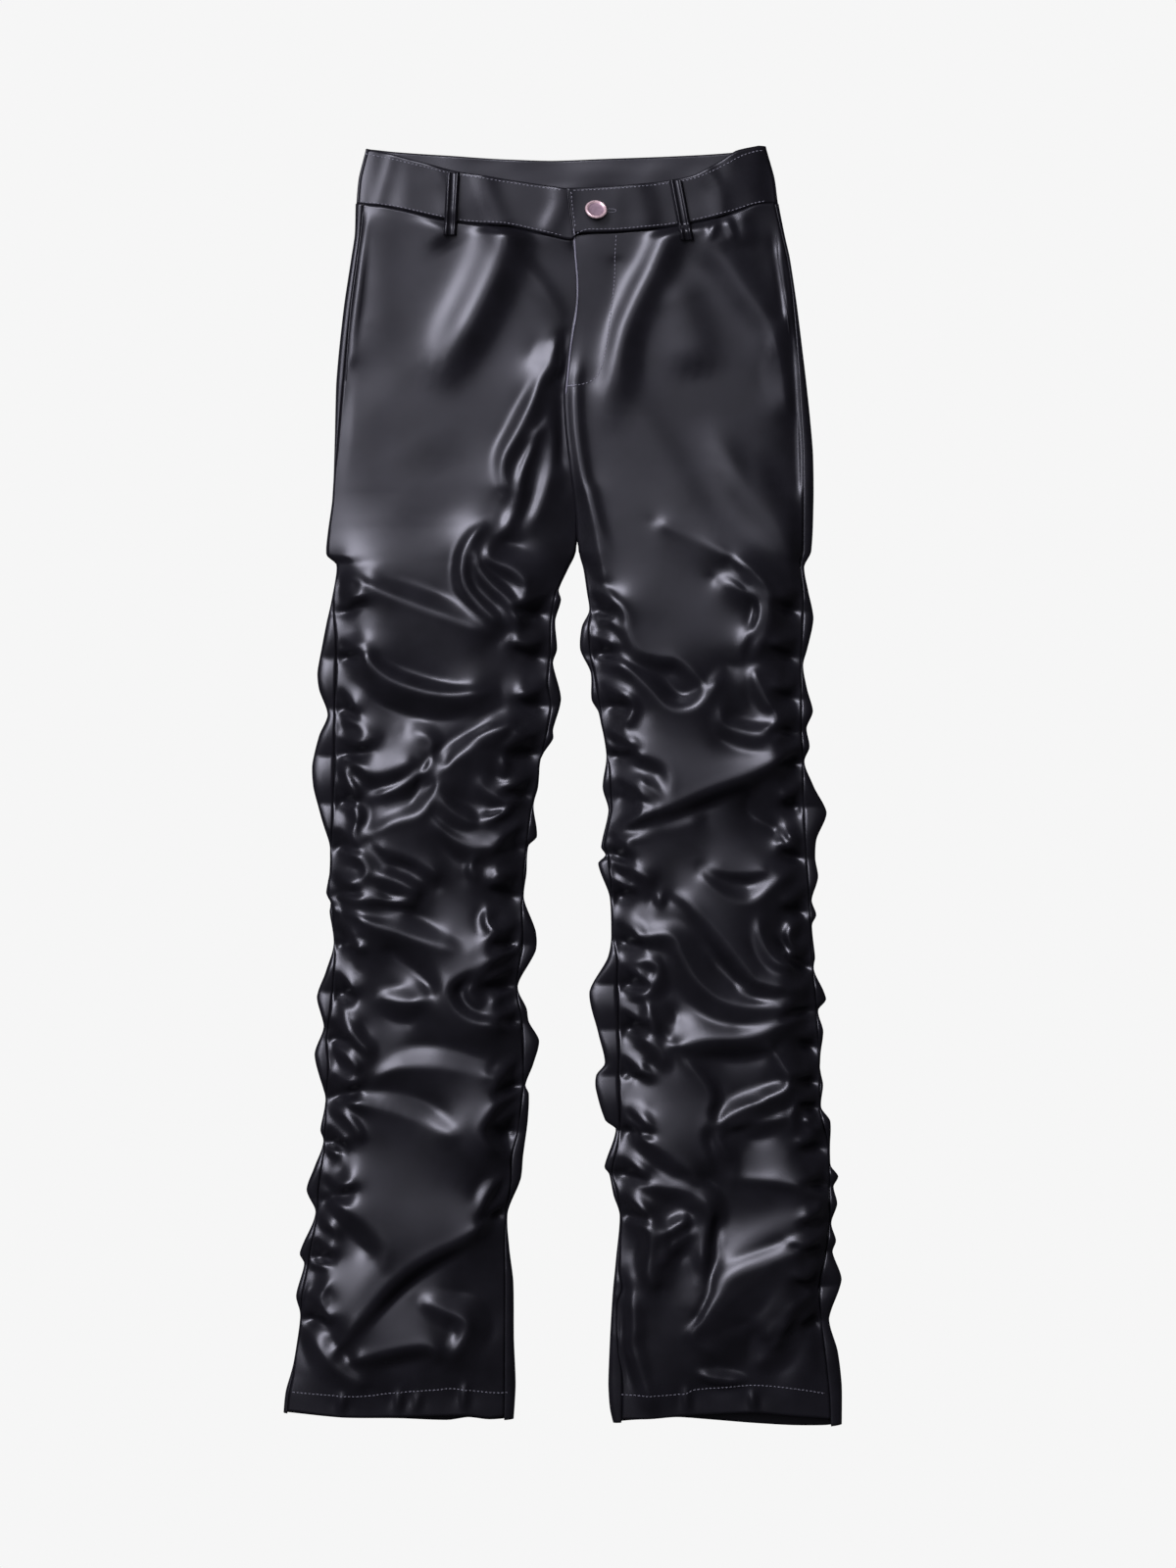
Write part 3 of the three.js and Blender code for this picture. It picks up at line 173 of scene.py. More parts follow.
# Folds: height of the crest over the cloth, how far its slope runs out to the left and to the right of the way
# along it, then points (x, y). A short slope is steep and has a valley at its foot. A negative height is a crease.
LEFT_FOLDS = (
    # pocket and fly
    (-2.5, 0, 0, (-174, 507), (-177, 480), (-181, 450), (-185, 420), (-188, 385), (-190, 350)),
    (2, 4, 7, (-169, 500), (-170, 485), (-174, 455), (-177, 425), (-181, 395), (-184, 360)),
    (-2, 0, 0, (4, 403), (1, 388), (-1, 382), (3, 368), (2, 360), (-8, 350), (-10, 346), (-3, 341),
     (-1, 335), (-1, 270)),
    (1.5, 8, 20, (3, 395), (-6, 378), (-9, 362), (-8, 350)),
    # crotch
    (5, 13, 13, (-2, 381), (-16, 356), (-26, 332), (-38, 307), (-50, 283), (-50, 255), (-56, 233)),
    (3, 12, 14, (-12, 318), (-23, 306), (-28, 290), (-34, 272), (-38, 252), (-44, 232), (-54, 212)),
    (2, 14, 17, (-8, 320), (-8, 290), (-12, 265), (-28, 220)),
    # thigh
    (7, 9, 10, (-60, 231), (-68, 226), (-76, 218), (-83, 207), (-86, 195), (-86, 182), (-82, 170),
     (-72, 158), (-62, 148), (-45, 130)),
    (7, 9, 10, (-72, 215), (-76, 205), (-73, 190), (-66, 180), (-58, 172), (-48, 163), (-42, 153),
     (-38, 142), (-42, 129)),
    (6, 22, 9, (-56, 218), (-64, 203), (-62, 195), (-50, 191), (-42, 187), (-36, 182), (-31, 175),
     (-29, 155)),
    (6, 18, 60, (-196, 190), (-165, 172), (-130, 158), (-90, 143), (-50, 125)),
    (5, 16, 8, (-205, 198), (-196, 194), (-190, 185), (-184, 172), (-186, 158), (-198, 155)),
    (9, 13, 22, (-196, 125), (-190, 119), (-172, 115), (-165, 105), (-150, 93), (-130, 85), (-110, 80),
     (-90, 79), (-70, 81), (-48, 86)),
    (5, 30, 14, (-198, 70), (-185, 62), (-170, 47), (-150, 41)),
    (6, 14, 26, (-140, 52), (-115, 42), (-112, 33), (-118, 15), (-140, 1), (-172, -12)),
    (7, 30, 12, (-198, 28), (-175, 18), (-163, 11), (-140, 17), (-120, 30)),
    # knee
    (3, 16, 18, (-84, 38), (-65, 47), (-50, 51), (-42, 52), (-27, 31)),
    (4, 10, 10, (-197, 25), (-186, 10), (-178, -12), (-176, -20)),
    (4, 10, 10, (-192, -13), (-178, -20), (-181, -45)),
    (8, 16, 26, (-172, -42), (-145, -31), (-122, -24), (-110, -6), (-103, 14), (-80, 32), (-47, 49),
     (-24, 42)),
    (5, 17, 11, (-73, 17), (-70, 0), (-50, -10), (-25, -9)),
    (3, 8, 8, (-50, 28), (-51, 7)),
    (4, 8, 14, (-65, -17), (-66, -27), (-50, -22), (-40, -14)),
    (4, 11, 14, (-112, -2), (-95, -20), (-65, -35)),
    (7, 30, 13, (-118, -22), (-100, -40), (-80, -52), (-50, -52), (-31, -50)),
    (5, 12, 8, (-72, -56), (-79, -70), (-70, -84)),
    (6, 30, 12, (-65, -78), (-48, -74), (-36, -87), (-34, -95)),
    (6, 28, 13, (-170, -48), (-135, -61), (-110, -74), (-107, -90)),
    (6, 14, 8, (-195, -50), (-175, -61), (-168, -74), (-180, -79)),
    (7, 14, 14, (-168, -74), (-140, -82), (-117, -95)),
    (6, 26, 14, (-205, -92), (-165, -97), (-118, -99)),
    (4, 8, 8, (-204, -96), (-194, -112)),
    # shin
    (8, 20, 34, (-195, -105), (-160, -120), (-110, -137), (-80, -142)),
    (-5, 0, 0, (-160, -134), (-130, -157), (-105, -182)),
    (4, 9, 9, (-64, -103), (-65, -115), (-53, -128)),
    (10, 10, 34, (-33, -118), (-37, -136), (-60, -150), (-88, -163), (-97, -169), (-100, -176), (-93, -192),
     (-76, -203), (-50, -206), (-27, -209), (-20, -220)),
    (6, 14, 9, (-60, -153), (-81, -176), (-64, -192)),
    (5, 10, 10, (-40, -174), (-57, -184), (-62, -192)),
    (4, 8, 8, (-195, -135), (-166, -141)),
    (4, 14, 17, (-165, -178), (-140, -186), (-112, -183)),
    (6, 12, 26, (-192, -183), (-184, -210), (-170, -226), (-155, -231)),
    (6, 11, 10, (-201, -217), (-182, -238), (-172, -250)),
    (5, 20, 34, (-172, -258), (-145, -244), (-110, -243), (-75, -248), (-38, -252)),
    (4.5, 20, 26, (-192, -270), (-140, -284), (-84, -306)),
    (9, 9, 34, (-32, -259), (-58, -277), (-71, -296), (-62, -311), (-45, -323), (-42, -330), (-48, -350)),
    (5, 9, 12, (-205, -271), (-180, -293), (-174, -303), (-175, -311)),
    (4, 8, 8, (-207, -310), (-190, -319)),
    # hem
    (8, 50, 18, (-211, -350), (-175, -372), (-153, -395), (-151, -410), (-153, -425)),
    (10, 13, 44, (-47, -355), (-78, -384), (-122, -407), (-148, -427), (-172, -456), (-201, -494)),
    (8, 30, 13, (-190, -498), (-140, -485), (-112, -484), (-103, -505)),
    (6, 20, 16, (-130, -440), (-100, -453), (-81, -465), (-95, -495), (-100, -510)),
    (4, 9, 10, (-213, -368), (-201, -380), (-193, -393)),
    (4, 8, 8, (-222, -409), (-200, -416)),
    (5, 9, 12, (-224, -458), (-210, -440), (-200, -424)),
    (5, 14, 15, (-228, -460), (-210, -486), (-190, -508), (-160, -522)),
    # puckers over the hem stitches
    (3, 6, 6, (-192, -543), (-190, -522)),
    (3, 6, 6, (-143, -543), (-141, -518)),
    (2, 6, 6, (-127, -543), (-125, -520)),
    (3, 6, 6, (-86, -543), (-84, -512)),
)
RIGHT_FOLDS = (
    # fly and pocket
    (-0.9, 0, 0, *FLY_STITCHES),
    (-2.5, 0, 0, (193, 485), (198, 460), (200, 440), (202, 400), (203, 370), (204, 340), (206, 280),
     (207, 250)),
    (-2, 0, 0, (183, 480), (187, 450), (190, 425), (193, 400)),
    (2.5, 4, 6, (186, 478), (188, 462), (191, 440), (195, 415), (197, 395)),
    # hip
    (2, 5, 5, (133, 500), (127, 478)),
    (2, 5, 5, (141, 500), (150, 473)),
    (1.5, 20, 20, (181, 396), (191, 360), (196, 320)),
    (2, 30, 20, (25, 270), (29, 225), (36, 172)),
    # thigh
    (4, 40, 26, (74, 232), (112, 216), (140, 202), (168, 183), (184, 168)),
    (7, 26, 15, (140, 199), (170, 177), (181, 160), (176, 135), (165, 110), (164, 100)),
    (4, 20, 32, (125, 182), (160, 168), (169, 150), (158, 125), (148, 100)),
    (7, 30, 12, (30, 175), (45, 162), (56, 147), (57, 135), (66, 118), (85, 112), (100, 110), (120, 90),
     (125, 75)),
    (5, 9, 14, (24, 153), (38, 148), (50, 135)),
    (8, 15, 30, (32, 112), (55, 103), (75, 85), (92, 68), (112, 67), (124, 77), (138, 97), (145, 110)),
    (5, 10, 12, (29, 95), (45, 80), (59, 74), (57, 58), (43, 47)),
    # knee
    (7, 26, 12, (33, 52), (40, 36), (65, 29), (90, 20), (96, 0), (88, -17)),
    (5, 9, 12, (62, 10), (90, -12)),
    (10, 13, 44, (213, 52), (203, 35), (170, 15), (130, 0), (100, -13), (70, -25), (42, -39)),
    (6, 12, 14, (140, 75), (137, 62), (140, 53), (170, 45), (205, 45)),
    (6, 20, 12, (165, 110), (168, 92), (177, 75), (190, 60), (206, 45)),
    (5, 12, 10, (42, -8), (65, -12), (69, -20), (55, -32), (42, -39)),
    (5, 12, 26, (33, -50), (90, -38), (130, -25)),
    (7, 26, 10, (33, -55), (60, -71), (85, -84)),
    (4, 8, 8, (84, -92), (84, -102)),
    (6, 16, 26, (116, -65), (125, -83), (160, -100), (185, -83), (207, -65)),
    (5, 32, 11, (118, -66), (150, -75), (188, -71)),
    (-4, 0, 0, (165, 5), (160, -20), (185, -37), (200, -52)),
    (4, 9, 9, (192, -35), (206, -57)),
    (9, 30, 14, (90, -90), (108, -98), (125, -117), (145, -140), (162, -162), (168, -169), (205, -173),
     (219, -157)),
    (4, 16, 10, (172, -108), (170, -125), (185, -150), (213, -155)),
    (4, 9, 9, (207, -112), (195, -130), (208, -142)),
    (7, 22, 18, (55, -133), (93, -128), (104, -148), (120, -172), (150, -188), (220, -190)),
    # shin
    (5, 14, 9, (50, -148), (78, -152), (84, -160), (73, -176), (50, -181)),
    (6, 22, 10, (72, -183), (78, -205), (83, -219)),
    (9, 26, 18, (83, -219), (102, -223), (130, -218), (165, -216), (195, -202), (217, -198)),
    (7, 16, 12, (178, -212), (177, -220), (196, -250), (197, -258), (183, -267), (155, -277), (135, -290),
     (132, -298), (146, -324), (149, -333), (148, -343)),
    (4, 14, 14, (62, -210), (85, -230), (88, -250)),
    (4, 10, 10, (50, -255), (65, -248), (85, -250)),
    (7, 10, 30, (95, -225), (128, -265), (120, -305), (135, -345)),
    (7, 30, 14, (48, -265), (60, -292), (100, -325), (130, -348)),
    (5, 20, 14, (133, -296), (180, -287), (200, -280)),
    (5, 10, 26, (225, -258), (200, -280), (202, -305)),
    (4, 9, 9, (225, -279), (211, -288), (228, -298), (232, -308)),
    # hem
    (9, 30, 14, (148, -338), (200, -343), (225, -356), (233, -375), (218, -392), (190, -407), (150, -423),
     (130, -445), (115, -468), (113, -476), (128, -489), (140, -487)),
    (6, 16, 16, (60, -342), (110, -350), (127, -365), (122, -400), (120, -430)),
    (4, 10, 10, (80, -390), (116, -370)),
    (5, 12, 12, (118, -382), (95, -397), (87, -420)),
    (6, 16, 12, (50, -372), (72, -380), (78, -390), (74, -420), (88, -437)),
    (-4, 0, 0, (133, -365), (133, -400), (122, -448), (108, -470)),
    (6, 11, 24, (113, -472), (150, -437), (190, -410)),
    (7, 11, 30, (222, -433), (195, -455), (170, -482)),
    (4, 22, 20, (200, -455), (165, -510)),
    (5, 11, 10, (47, -412), (58, -430), (62, -465), (60, -485), (73, -522), (83, -548)),
    (4, 11, 9, (110, -505), (132, -513), (165, -516)),
    # puckers over the hem stitches
    (3, 6, 6, (108, -545), (107, -515)),
    (3, 6, 6, (166, -545), (164, -522)),
)
# Soft, wide rises without a crest, in the same columns.
LEFT_SWELLS = (
    (11, 16, 22, (-44, 488), (-58, 446), (-78, 404), (-98, 368), (-118, 338)),
    (2.5, 9, 12, (-56, 482), (-42, 462), (-22, 438), (-6, 412), (2, 388)),
    (3.5, 10, 14, (-112, 496), (-104, 480), (-96, 468)),
    (3, 14, 12, (2, 372), (-6, 345), (-12, 320), (-14, 290)),
    (1.8, 30, 30, (-150, 335), (-122, 310), (-105, 270)),
    (1.5, 16, 30, (-160, 480), (-162, 440), (-160, 400), (-165, 360)),
    (2, 40, 30, (-175, 300), (-130, 255), (-110, 225)),
)
RIGHT_SWELLS = (
    # hip and thigh
    (8, 14, 13, (95, 486), (80, 452), (66, 424), (53, 392), (46, 355), (42, 325), (38, 300)),
    (5.5, 17, 15, (118, 490), (128, 470), (144, 452), (158, 432), (178, 406), (190, 380), (197, 345)),
    (3, 8, 9, (136, 494), (140, 480), (146, 466)),
    (3, 8, 9, (154, 496), (157, 482), (160, 466)),
    (4, 22, 20, (100, 420), (112, 380), (118, 350)),
    (7, 8, 36, (6, 350), (8, 310), (16, 262), (30, 222), (44, 190)),
    (3, 22, 60, (48, 345), (84, 286), (112, 240), (140, 205)),
    (5, 16, 15, (206, 190), (180, 230), (155, 262), (136, 295), (122, 325)),
    (3, 12, 12, (204, 205), (190, 240), (172, 270), (160, 300)),
    # hem
    (8, 24, 21, (238, -362), (204, -380), (165, -402), (118, -440), (90, -470)),
    (7, 20, 16, (222, -420), (184, -444), (150, -470), (122, -500), (100, -525)),
    (5.5, 12, 13, (62, -356), (76, -380), (84, -404), (78, -436), (70, -460)),
    (4, 12, 10, (130, -356), (106, -370), (86, -392), (80, -410)),
    (4, 12, 10, (54, -425), (60, -470), (68, -515), (72, -540)),
    (4.5, 14, 12, (226, -436), (214, -478), (200, -522), (196, -545)),
)


def clamp(v, low=0.0, high=1.0):
    return np.clip(v, low, high)


def mix(a, b, t):
    return a + (b - a) * t


def ease(t):
    s = clamp(t)
    return s * s * (3 - 2 * s)


class Line:
    """A smooth curve through (position, value) points, read at any position."""

    # 0 joins the points by straight lines, 1 by a full curve.
    BEND = 0.7

    def __init__(self, points):
        p = np.array(sorted(points), float)
        self.at, self.value = p[:, 0], p[:, 1]
        i = np.arange(len(p))
        before, after = p[np.maximum(i - 1, 0)], p[np.minimum(i + 1, len(p) - 1)]
        self.slope = (after[:, 1] - before[:, 1]) / (after[:, 0] - before[:, 0])

    def __call__(self, at):
        at = clamp(np.asarray(at, float), self.at[0], self.at[-1])
        i = np.clip(np.searchsorted(self.at, at) - 1, 0, len(self.at) - 2)
        run = self.at[i + 1] - self.at[i]
        t = (at - self.at[i]) / run
        rise = self.value[i + 1] - self.value[i]
        bent = t * (1 - t) ** 2 * run * self.slope[i] + t * t * (t - 1) * run * self.slope[i + 1]
        chord = (t - 3 * t * t + 2 * t ** 3) * rise
        return self.value[i] + rise * t * t * (3 - 2 * t) + self.BEND * bent + (1 - self.BEND) * chord


def smooth_path(points, step):
    """A curve through the points, as places about step apart."""
    p = np.array(points, float)
    padded = np.vstack([2 * p[0] - p[1], p, 2 * p[-1] - p[-2]])
    path = []
    for i in range(len(p) - 1):
        a, b, c, d = padded[i:i + 4]
        steps = max(2, int(np.hypot(*(c - b)) / step))
        for t in np.linspace(0, 1, steps, endpoint=False):
            path.append(0.5 * (2 * b + (c - a) * t + (2 * a - 5 * b + 4 * c - d) * t * t
                               + (3 * b - a - 3 * c + d) * t ** 3))
    path.append(p[-1])
    return np.array(path)


LAP = 1.2             # how far the right front laps over the left at the fly
FLY_END = 340         # down to this y
FLY_RISE = 1.2        # how much higher it lies there
FLY_SINK = 1.5        # and how much lower the left one

BROAD_LEAST = 5       # a fold this high or higher is mostly a broad rise
BROAD = 0.85          # which has this share of its height
BROAD_RUN = 30        # and slopes that are mixed with this one
BROAD_END = 0.2       # share of its length over which each end sinks
END_HEIGHT = 0.4      # share of its height that its start keeps
BEAD_LEAST = 5        # a fold this high or higher has a narrow lip along its crest
BEAD = 0.01           # this high, times the square of the fold's height
BEAD_WIDTH = 4.5
SLIGHT = 0.75         # share of a lower fold's height that is pressed into the cloth
VALLEY = 0.35         # depth of a valley, as a share of its fold's height
CREST_HOLD = 14       # how hard the cloth is held at a crest
VALLEY_HOLD = 4       # and in a valley
PULL = 30             # how far the height of the cloth without folds reaches
FULLNESS = 0.0015     # how much the cloth billows
TACK_DEPTH = 5        # depth of the crease that runs in from a tack
TACK_REACH = 30       # and its length
PUFF = 5              # height of the ridge over it
CEILING = 27          # crests above this are bent over
HEADROOM = 8.5        # and stay within this much more


def distances(path):
    """How far along a path each of its places is."""
    return np.concatenate([[0], np.cumsum(np.hypot(*np.diff(path, axis=0).T))])


def directions(path):
    along = np.gradient(path, axis=0)
    return along / np.hypot(*along.T)[:, None]


class Fold:
    """One crest, with the valleys that its steep slopes run down to."""

    END = 16     # length over which a crest fades in and out
    STEEP = 24   # longest slope that still has a valley at its foot

    def __init__(self, height, left, right, *points):
        self.points, self.height, self.left, self.right = points, height, left, right
        self.valleys = [run for run in (left, -right) if 0 < abs(run) <= self.STEEP]

    def lines(self, step):
        """Places, heights over the cloth and holds, for the crest and then for its valleys."""
        path = smooth_path(self.points, step)
        gone = distances(path)
        fade = min(self.END, gone[-1] * 0.35)
        ends = ease(gone / fade) * ease((gone[-1] - gone) / fade)
        along = directions(path)
        left = np.stack([-along[:, 1], along[:, 0]], axis=1)
        yield path, self.pressed() * ends, ends * CREST_HOLD
        rise = 0.45 * gone[-1]
        middle = ease(gone / rise) * ease((gone[-1] - gone) / rise)
        for run in self.valleys:
            taper = mix(0.45, 1, middle)[:, None]
            yield path + left * run * taper, -VALLEY * self.height * middle, middle * VALLEY_HOLD

    def pressed(self):
        """The height that is pressed into the cloth, besides its broad rise."""
        if self.height >= BROAD_LEAST:
            return self.height * (1 - BROAD)
        return self.height * SLIGHT if self.height > 0 else self.height


def tack_folds(seam, tacks, inward):
    """From each tack a short crease runs in from the seam, under a ridge from the puff above it."""
    rng = random.Random(sum(tacks))
    runs = (12, 5) if inward > 0 else (5, 12)
    folds = []
    for upper, tack in zip(tacks, tacks[1:]):
        reach = inward * TACK_REACH * rng.uniform(0.7, 1.3)
        drift = abs(reach) * rng.uniform(-0.4, 0.4)
        x, middle = float(seam(tack)), mix(tack, upper, 0.55)
        folds.append(Fold(-TACK_DEPTH, 0, 0, (x, tack), (x + reach * 0.5, tack + drift * 0.3),
                          (x + reach, tack + drift)))
        folds.append(Fold(PUFF, *runs, (float(seam(middle)), middle), (x + reach * 0.45, mix(tack, upper, 0.3)),
                          (x + reach, tack + drift + 5)))
    return folds


class Leg:
    """The lines and folds of one leg. sign is +1 where its outseam is on the left."""

    def __init__(self, sign, edge, outseam, inner, inseam, out_tacks, in_tacks, folds, swells):
        self.sign = sign
        self.edge, self.outseam, self.inner, self.inseam = Line(edge), Line(outseam), Line(inner), Line(inseam)
        self.out_tacks, self.in_tacks = np.array(out_tacks, float), np.array(in_tacks, float)
        self.folds = [Fold(*row) for row in folds]
        self.folds += tack_folds(self.outseam, out_tacks, sign)
        self.folds += tack_folds(self.inseam, in_tacks, -sign)
        self.swells = swells


LEGS = {
    "left": Leg(1, LEFT_EDGE, LEFT_OUTSEAM, LEFT_INNER, LEFT_INSEAM,
                LEFT_OUT_TACKS, LEFT_IN_TACKS, LEFT_FOLDS, LEFT_SWELLS),
    "right": Leg(-1, RIGHT_EDGE, RIGHT_OUTSEAM, RIGHT_INNER, RIGHT_INSEAM,
                 RIGHT_OUT_TACKS, RIGHT_IN_TACKS, RIGHT_FOLDS, RIGHT_SWELLS),
}
waist_seam, front_top, back_top, back_seam, front_hem, back_hem = (
    Line(points) for points in (WAIST_SEAM, FRONT_TOP, BACK_TOP, BACK_SEAM, FRONT_HEM, BACK_HEM)
)


def between_tacks(tacks, y):
    """0 at a tack and 1 half-way to the next."""
    down = -tacks
    i = np.clip(np.searchsorted(down, -y), 1, len(tacks) - 1)
    upper, lower = tacks[i - 1], tacks[i]
    wave = np.sin(np.pi * clamp((upper - y) / (upper - lower)))
    wave = np.where(y > tacks[0], ease((y - tacks[0]) / 60), wave)
    return np.where(y < tacks[-1], ease((tacks[-1] - y) / 40), wave)


class Seam:
    """A seam read at one height down the leg: its place, height and how far round the rolled side it sits."""

    ON_EDGE = 0.5       # a seam this near the edge lies on it
    EDGE_SHARE = 0.55   # at this share of its full height
    ON_TOP = 6          # and one this much further in lies on top

    def __init__(self, edge, line, tacks, y):
        self.edge = edge(y)
        seam = line(y)
        self.turn = clamp((np.abs(seam - self.edge) - self.ON_EDGE) / self.ON_TOP)
        self.full = mix(SEAM_LOW, SEAM_HIGH, between_tacks(tacks, y))
        self.x = mix(self.edge, seam, np.minimum(1, self.turn * 3))
        self.z = self.full * mix(self.EDGE_SHARE, 1, self.turn)


def outseam_at(leg, y):
    return Seam(leg.edge, leg.outseam, leg.out_tacks, y)


CROTCH_HEIGHT = 3.4   # height of the seam between the fronts at the crotch
CROTCH_RUN = 45       # length over which the legs part below it
FLY_RUN = 90          # and over which that seam rises above it


def inseam_at(leg, y):
    """The leg's inner seam below the crotch, and the seam between the fronts above it."""
    s = Seam(leg.inner, leg.inseam, leg.in_tacks, y)
    opening = ease((CROTCH_Y - y) / CROTCH_RUN)
    above = y >= CROTCH_Y
    centre = mix(CROTCH_HEIGHT, HIP_HEIGHT - 1, ease((y - CROTCH_Y - 4) / FLY_RUN))
    s.z = np.where(above, centre, mix(CROTCH_HEIGHT - 1, s.z, opening))
    s.full = np.where(above, centre, mix(CROTCH_HEIGHT + 1, s.full, opening))
    s.turn = np.where(above, 1, s.turn * opening)
    s.x = np.where(above, leg.inner(y), s.x)
    return s


def ripple(x, y, size, seed):
    """Smooth random waves between -1 and 1, about size across."""
    return np.array([noise.noise(Vector((a / size, b / size, seed))) for a, b in zip(x, y)])


def base_height(leg, x, y):
    """Height of a front's outside without its folds."""
    out, inn = outseam_at(leg, y), inseam_at(leg, y)
    from_out = np.maximum(0, leg.sign * (x - out.x))
    from_in = np.maximum(0, leg.sign * (inn.x - x))
    rise_out, rise_in = ease(from_out / EDGE_RUN), ease(from_in / EDGE_RUN)
    full = mix(LEG_HEIGHT, HIP_HEIGHT, ease((y - HIP_START) / HIP_RUN))
    return full * rise_out * rise_in + out.z * (1 - rise_out) + inn.z * (1 - rise_in)


def rim(leg, x, y, side, top):
    """0 at a front's seams and 1 once that far from the side ones and from the top one."""
    reach = np.minimum(leg.sign * (x - leg.outseam(y)), leg.sign * (leg.inseam(y) - x))
    return ease(reach / side) * ease((waist_seam(x) - y) / top)


def wrinkles(x, y):
    """Small waves, stronger down the legs."""
    flat_x, flat_y = x.ravel(), y.ravel()
    waves = 0.8 * ripple(flat_x, flat_y * 1.5, 42, 3.1) + 0.2 * ripple(flat_x, flat_y * 1.3, 17, 7.7)
    return waves.reshape(x.shape) * mix(0.35, 1, ease((210 - y) / 60))


def swell(x, y, height, left, right, *points, start=0.0, tail=0.0):
    """A soft, wide rise along a line, with its own width to each side. It rises over the first share of its
    length that start gives, and sinks over the last share that tail gives."""
    path = smooth_path(points, 4)
    along = directions(path)
    dx, dy = x[..., None] - path[:, 0], y[..., None] - path[:, 1]
    near = np.hypot(dx, dy).argmin(-1)[..., None]
    dx, dy = (np.take_along_axis(d, near, -1)[..., 0] for d in (dx, dy))
    gone = near[..., 0] / (len(path) - 1)
    if start:
        height = height * mix(END_HEIGHT, 1, ease(gone / start))
    if tail:
        height = height * ease((1 - gone) / tail)
    tx, ty = along[near[..., 0], 0], along[near[..., 0], 1]
    far = np.hypot(dx, dy) + 1e-6
    side = (tx * dy - ty * dx) / far
    return height * np.exp(-(far / mix(right, left, (1 + side) / 2)) ** 2)


def broad_forms(leg, x, y):
    """The wide soft body of the folds, without their crests."""
    total = np.zeros(x.shape)
    for fold in leg.folds:
        if fold.height < BROAD_LEAST:
            continue
        left, right = (mix(run, BROAD_RUN, 0.3) * 1.1 for run in (fold.left, fold.right))
        near = around(fold, x, y, 3 * max(left, right))
        if near.any():
            height = fold.height * sizes().fold_lift * BROAD
            rise = swell(x[near], y[near], height, left, right, *fold.points, start=BROAD_END, tail=BROAD_END)
            total[near] += rise ** 3
    return np.cbrt(total)


def around(fold, x, y, reach):
    """Which places are within reach of the box round a fold."""
    p = np.array(fold.points, float)
    low, high = p.min(0) - reach, p.max(0) + reach
    return (x > low[0]) & (x < high[0]) & (y > low[1]) & (y < high[1])


# A front's columns follow its side seams, evened out over these steps down the leg. Only near the seams do they
# move over to meet every bump, the more suddenly the higher the power.
EVEN_STEPS = (-60, -30, 0, 30, 60)
EDGE_POWER = 6


def front_place(leg, across, down):
    """Where a share across and down a front lies, and its two seams there."""
    station = mix(LEG_TOP, LEG_BOTTOM, down)
    out, inn = seams_of(leg, station, waist_seam, front_hem)
    lapped = ease((station - CROTCH_Y) / 15)
    first = out.x + leg.sign * SEAM_GAP / 2
    last = inn.x + leg.sign * mix(-SEAM_GAP / 2, LAP, lapped)
    even_out, even_in = (
        sum(line(station + step) for step in EVEN_STEPS) / len(EVEN_STEPS) for line in (leg.outseam, leg.inseam)
    )
    x = mix(even_out, even_in, across) + (first - even_out) * (1 - across) ** EDGE_POWER
    x += (last - even_in) * across ** EDGE_POWER
    inn.z = inn.z + lapped * (-FLY_SINK if leg.sign > 0 else FLY_RISE * ease((station - FLY_END) / 20))
    return x, row_y(station, x, waist_seam, front_hem), out, inn


STRIDES = (8, 4, 2, 1)   # the grids that a front is settled on, as steps of the finest one
TURNS = 160              # the turns that each takes
HASTE = 1.6              # how far a turn goes, as a share of the way to the settled height
FOLD_RIM = (30, 25)      # how far in from the side and waist seams the folds have their height
SWELL_RIM = (12, 9)      # and the swells


def front_relief(leg, columns, rows):
    """Heights of a front's grid: cloth drawn tight over its crests and down into its valleys, coarse to fine."""
    z = None
    for stride in STRIDES:
        m, n = rows // stride, columns // stride
        across, down = np.meshgrid(np.linspace(0, 1, n + 1), np.linspace(0, 1, m + 1))
        x, y, out, inn = front_place(leg, across, down)
        base = base_height(leg, x, y) + 0.7 * (1 - ease((waist_seam(x) - y) / 14))
        base += broad_forms(leg, x, y) * rim(leg, x, y, *FOLD_RIM)
        if stride == 1:
            base += wrinkles(x, y) * rim(leg, x, y, *FOLD_RIM)
        weight, pulled = hold_folds(leg, x, y, base, (LEG_TOP - LEG_BOTTOM) / m)
        z = base.copy() if z is None else spread(z, m, n)
        z[:, 0], z[:, -1] = out.z[:, 0], inn.z[:, 0]
        z[0] = base[0]
        settle(z, weight, pulled)
    z += sum(swell(x, y, *row, tail=0.45) for row in leg.swells) * rim(leg, x, y, *SWELL_RIM)
    for fold in leg.folds:
        if fold.height >= BEAD_LEAST:
            near = around(fold, x, y, 3 * BEAD_WIDTH)
            z[near] += swell(x[near], y[near], BEAD * fold.height ** 2, BEAD_WIDTH, BEAD_WIDTH, *fold.points)
    over = np.maximum(0, z - CEILING)
    return x, y, z - over + HEADROOM * (1 - np.exp(-over / HEADROOM))


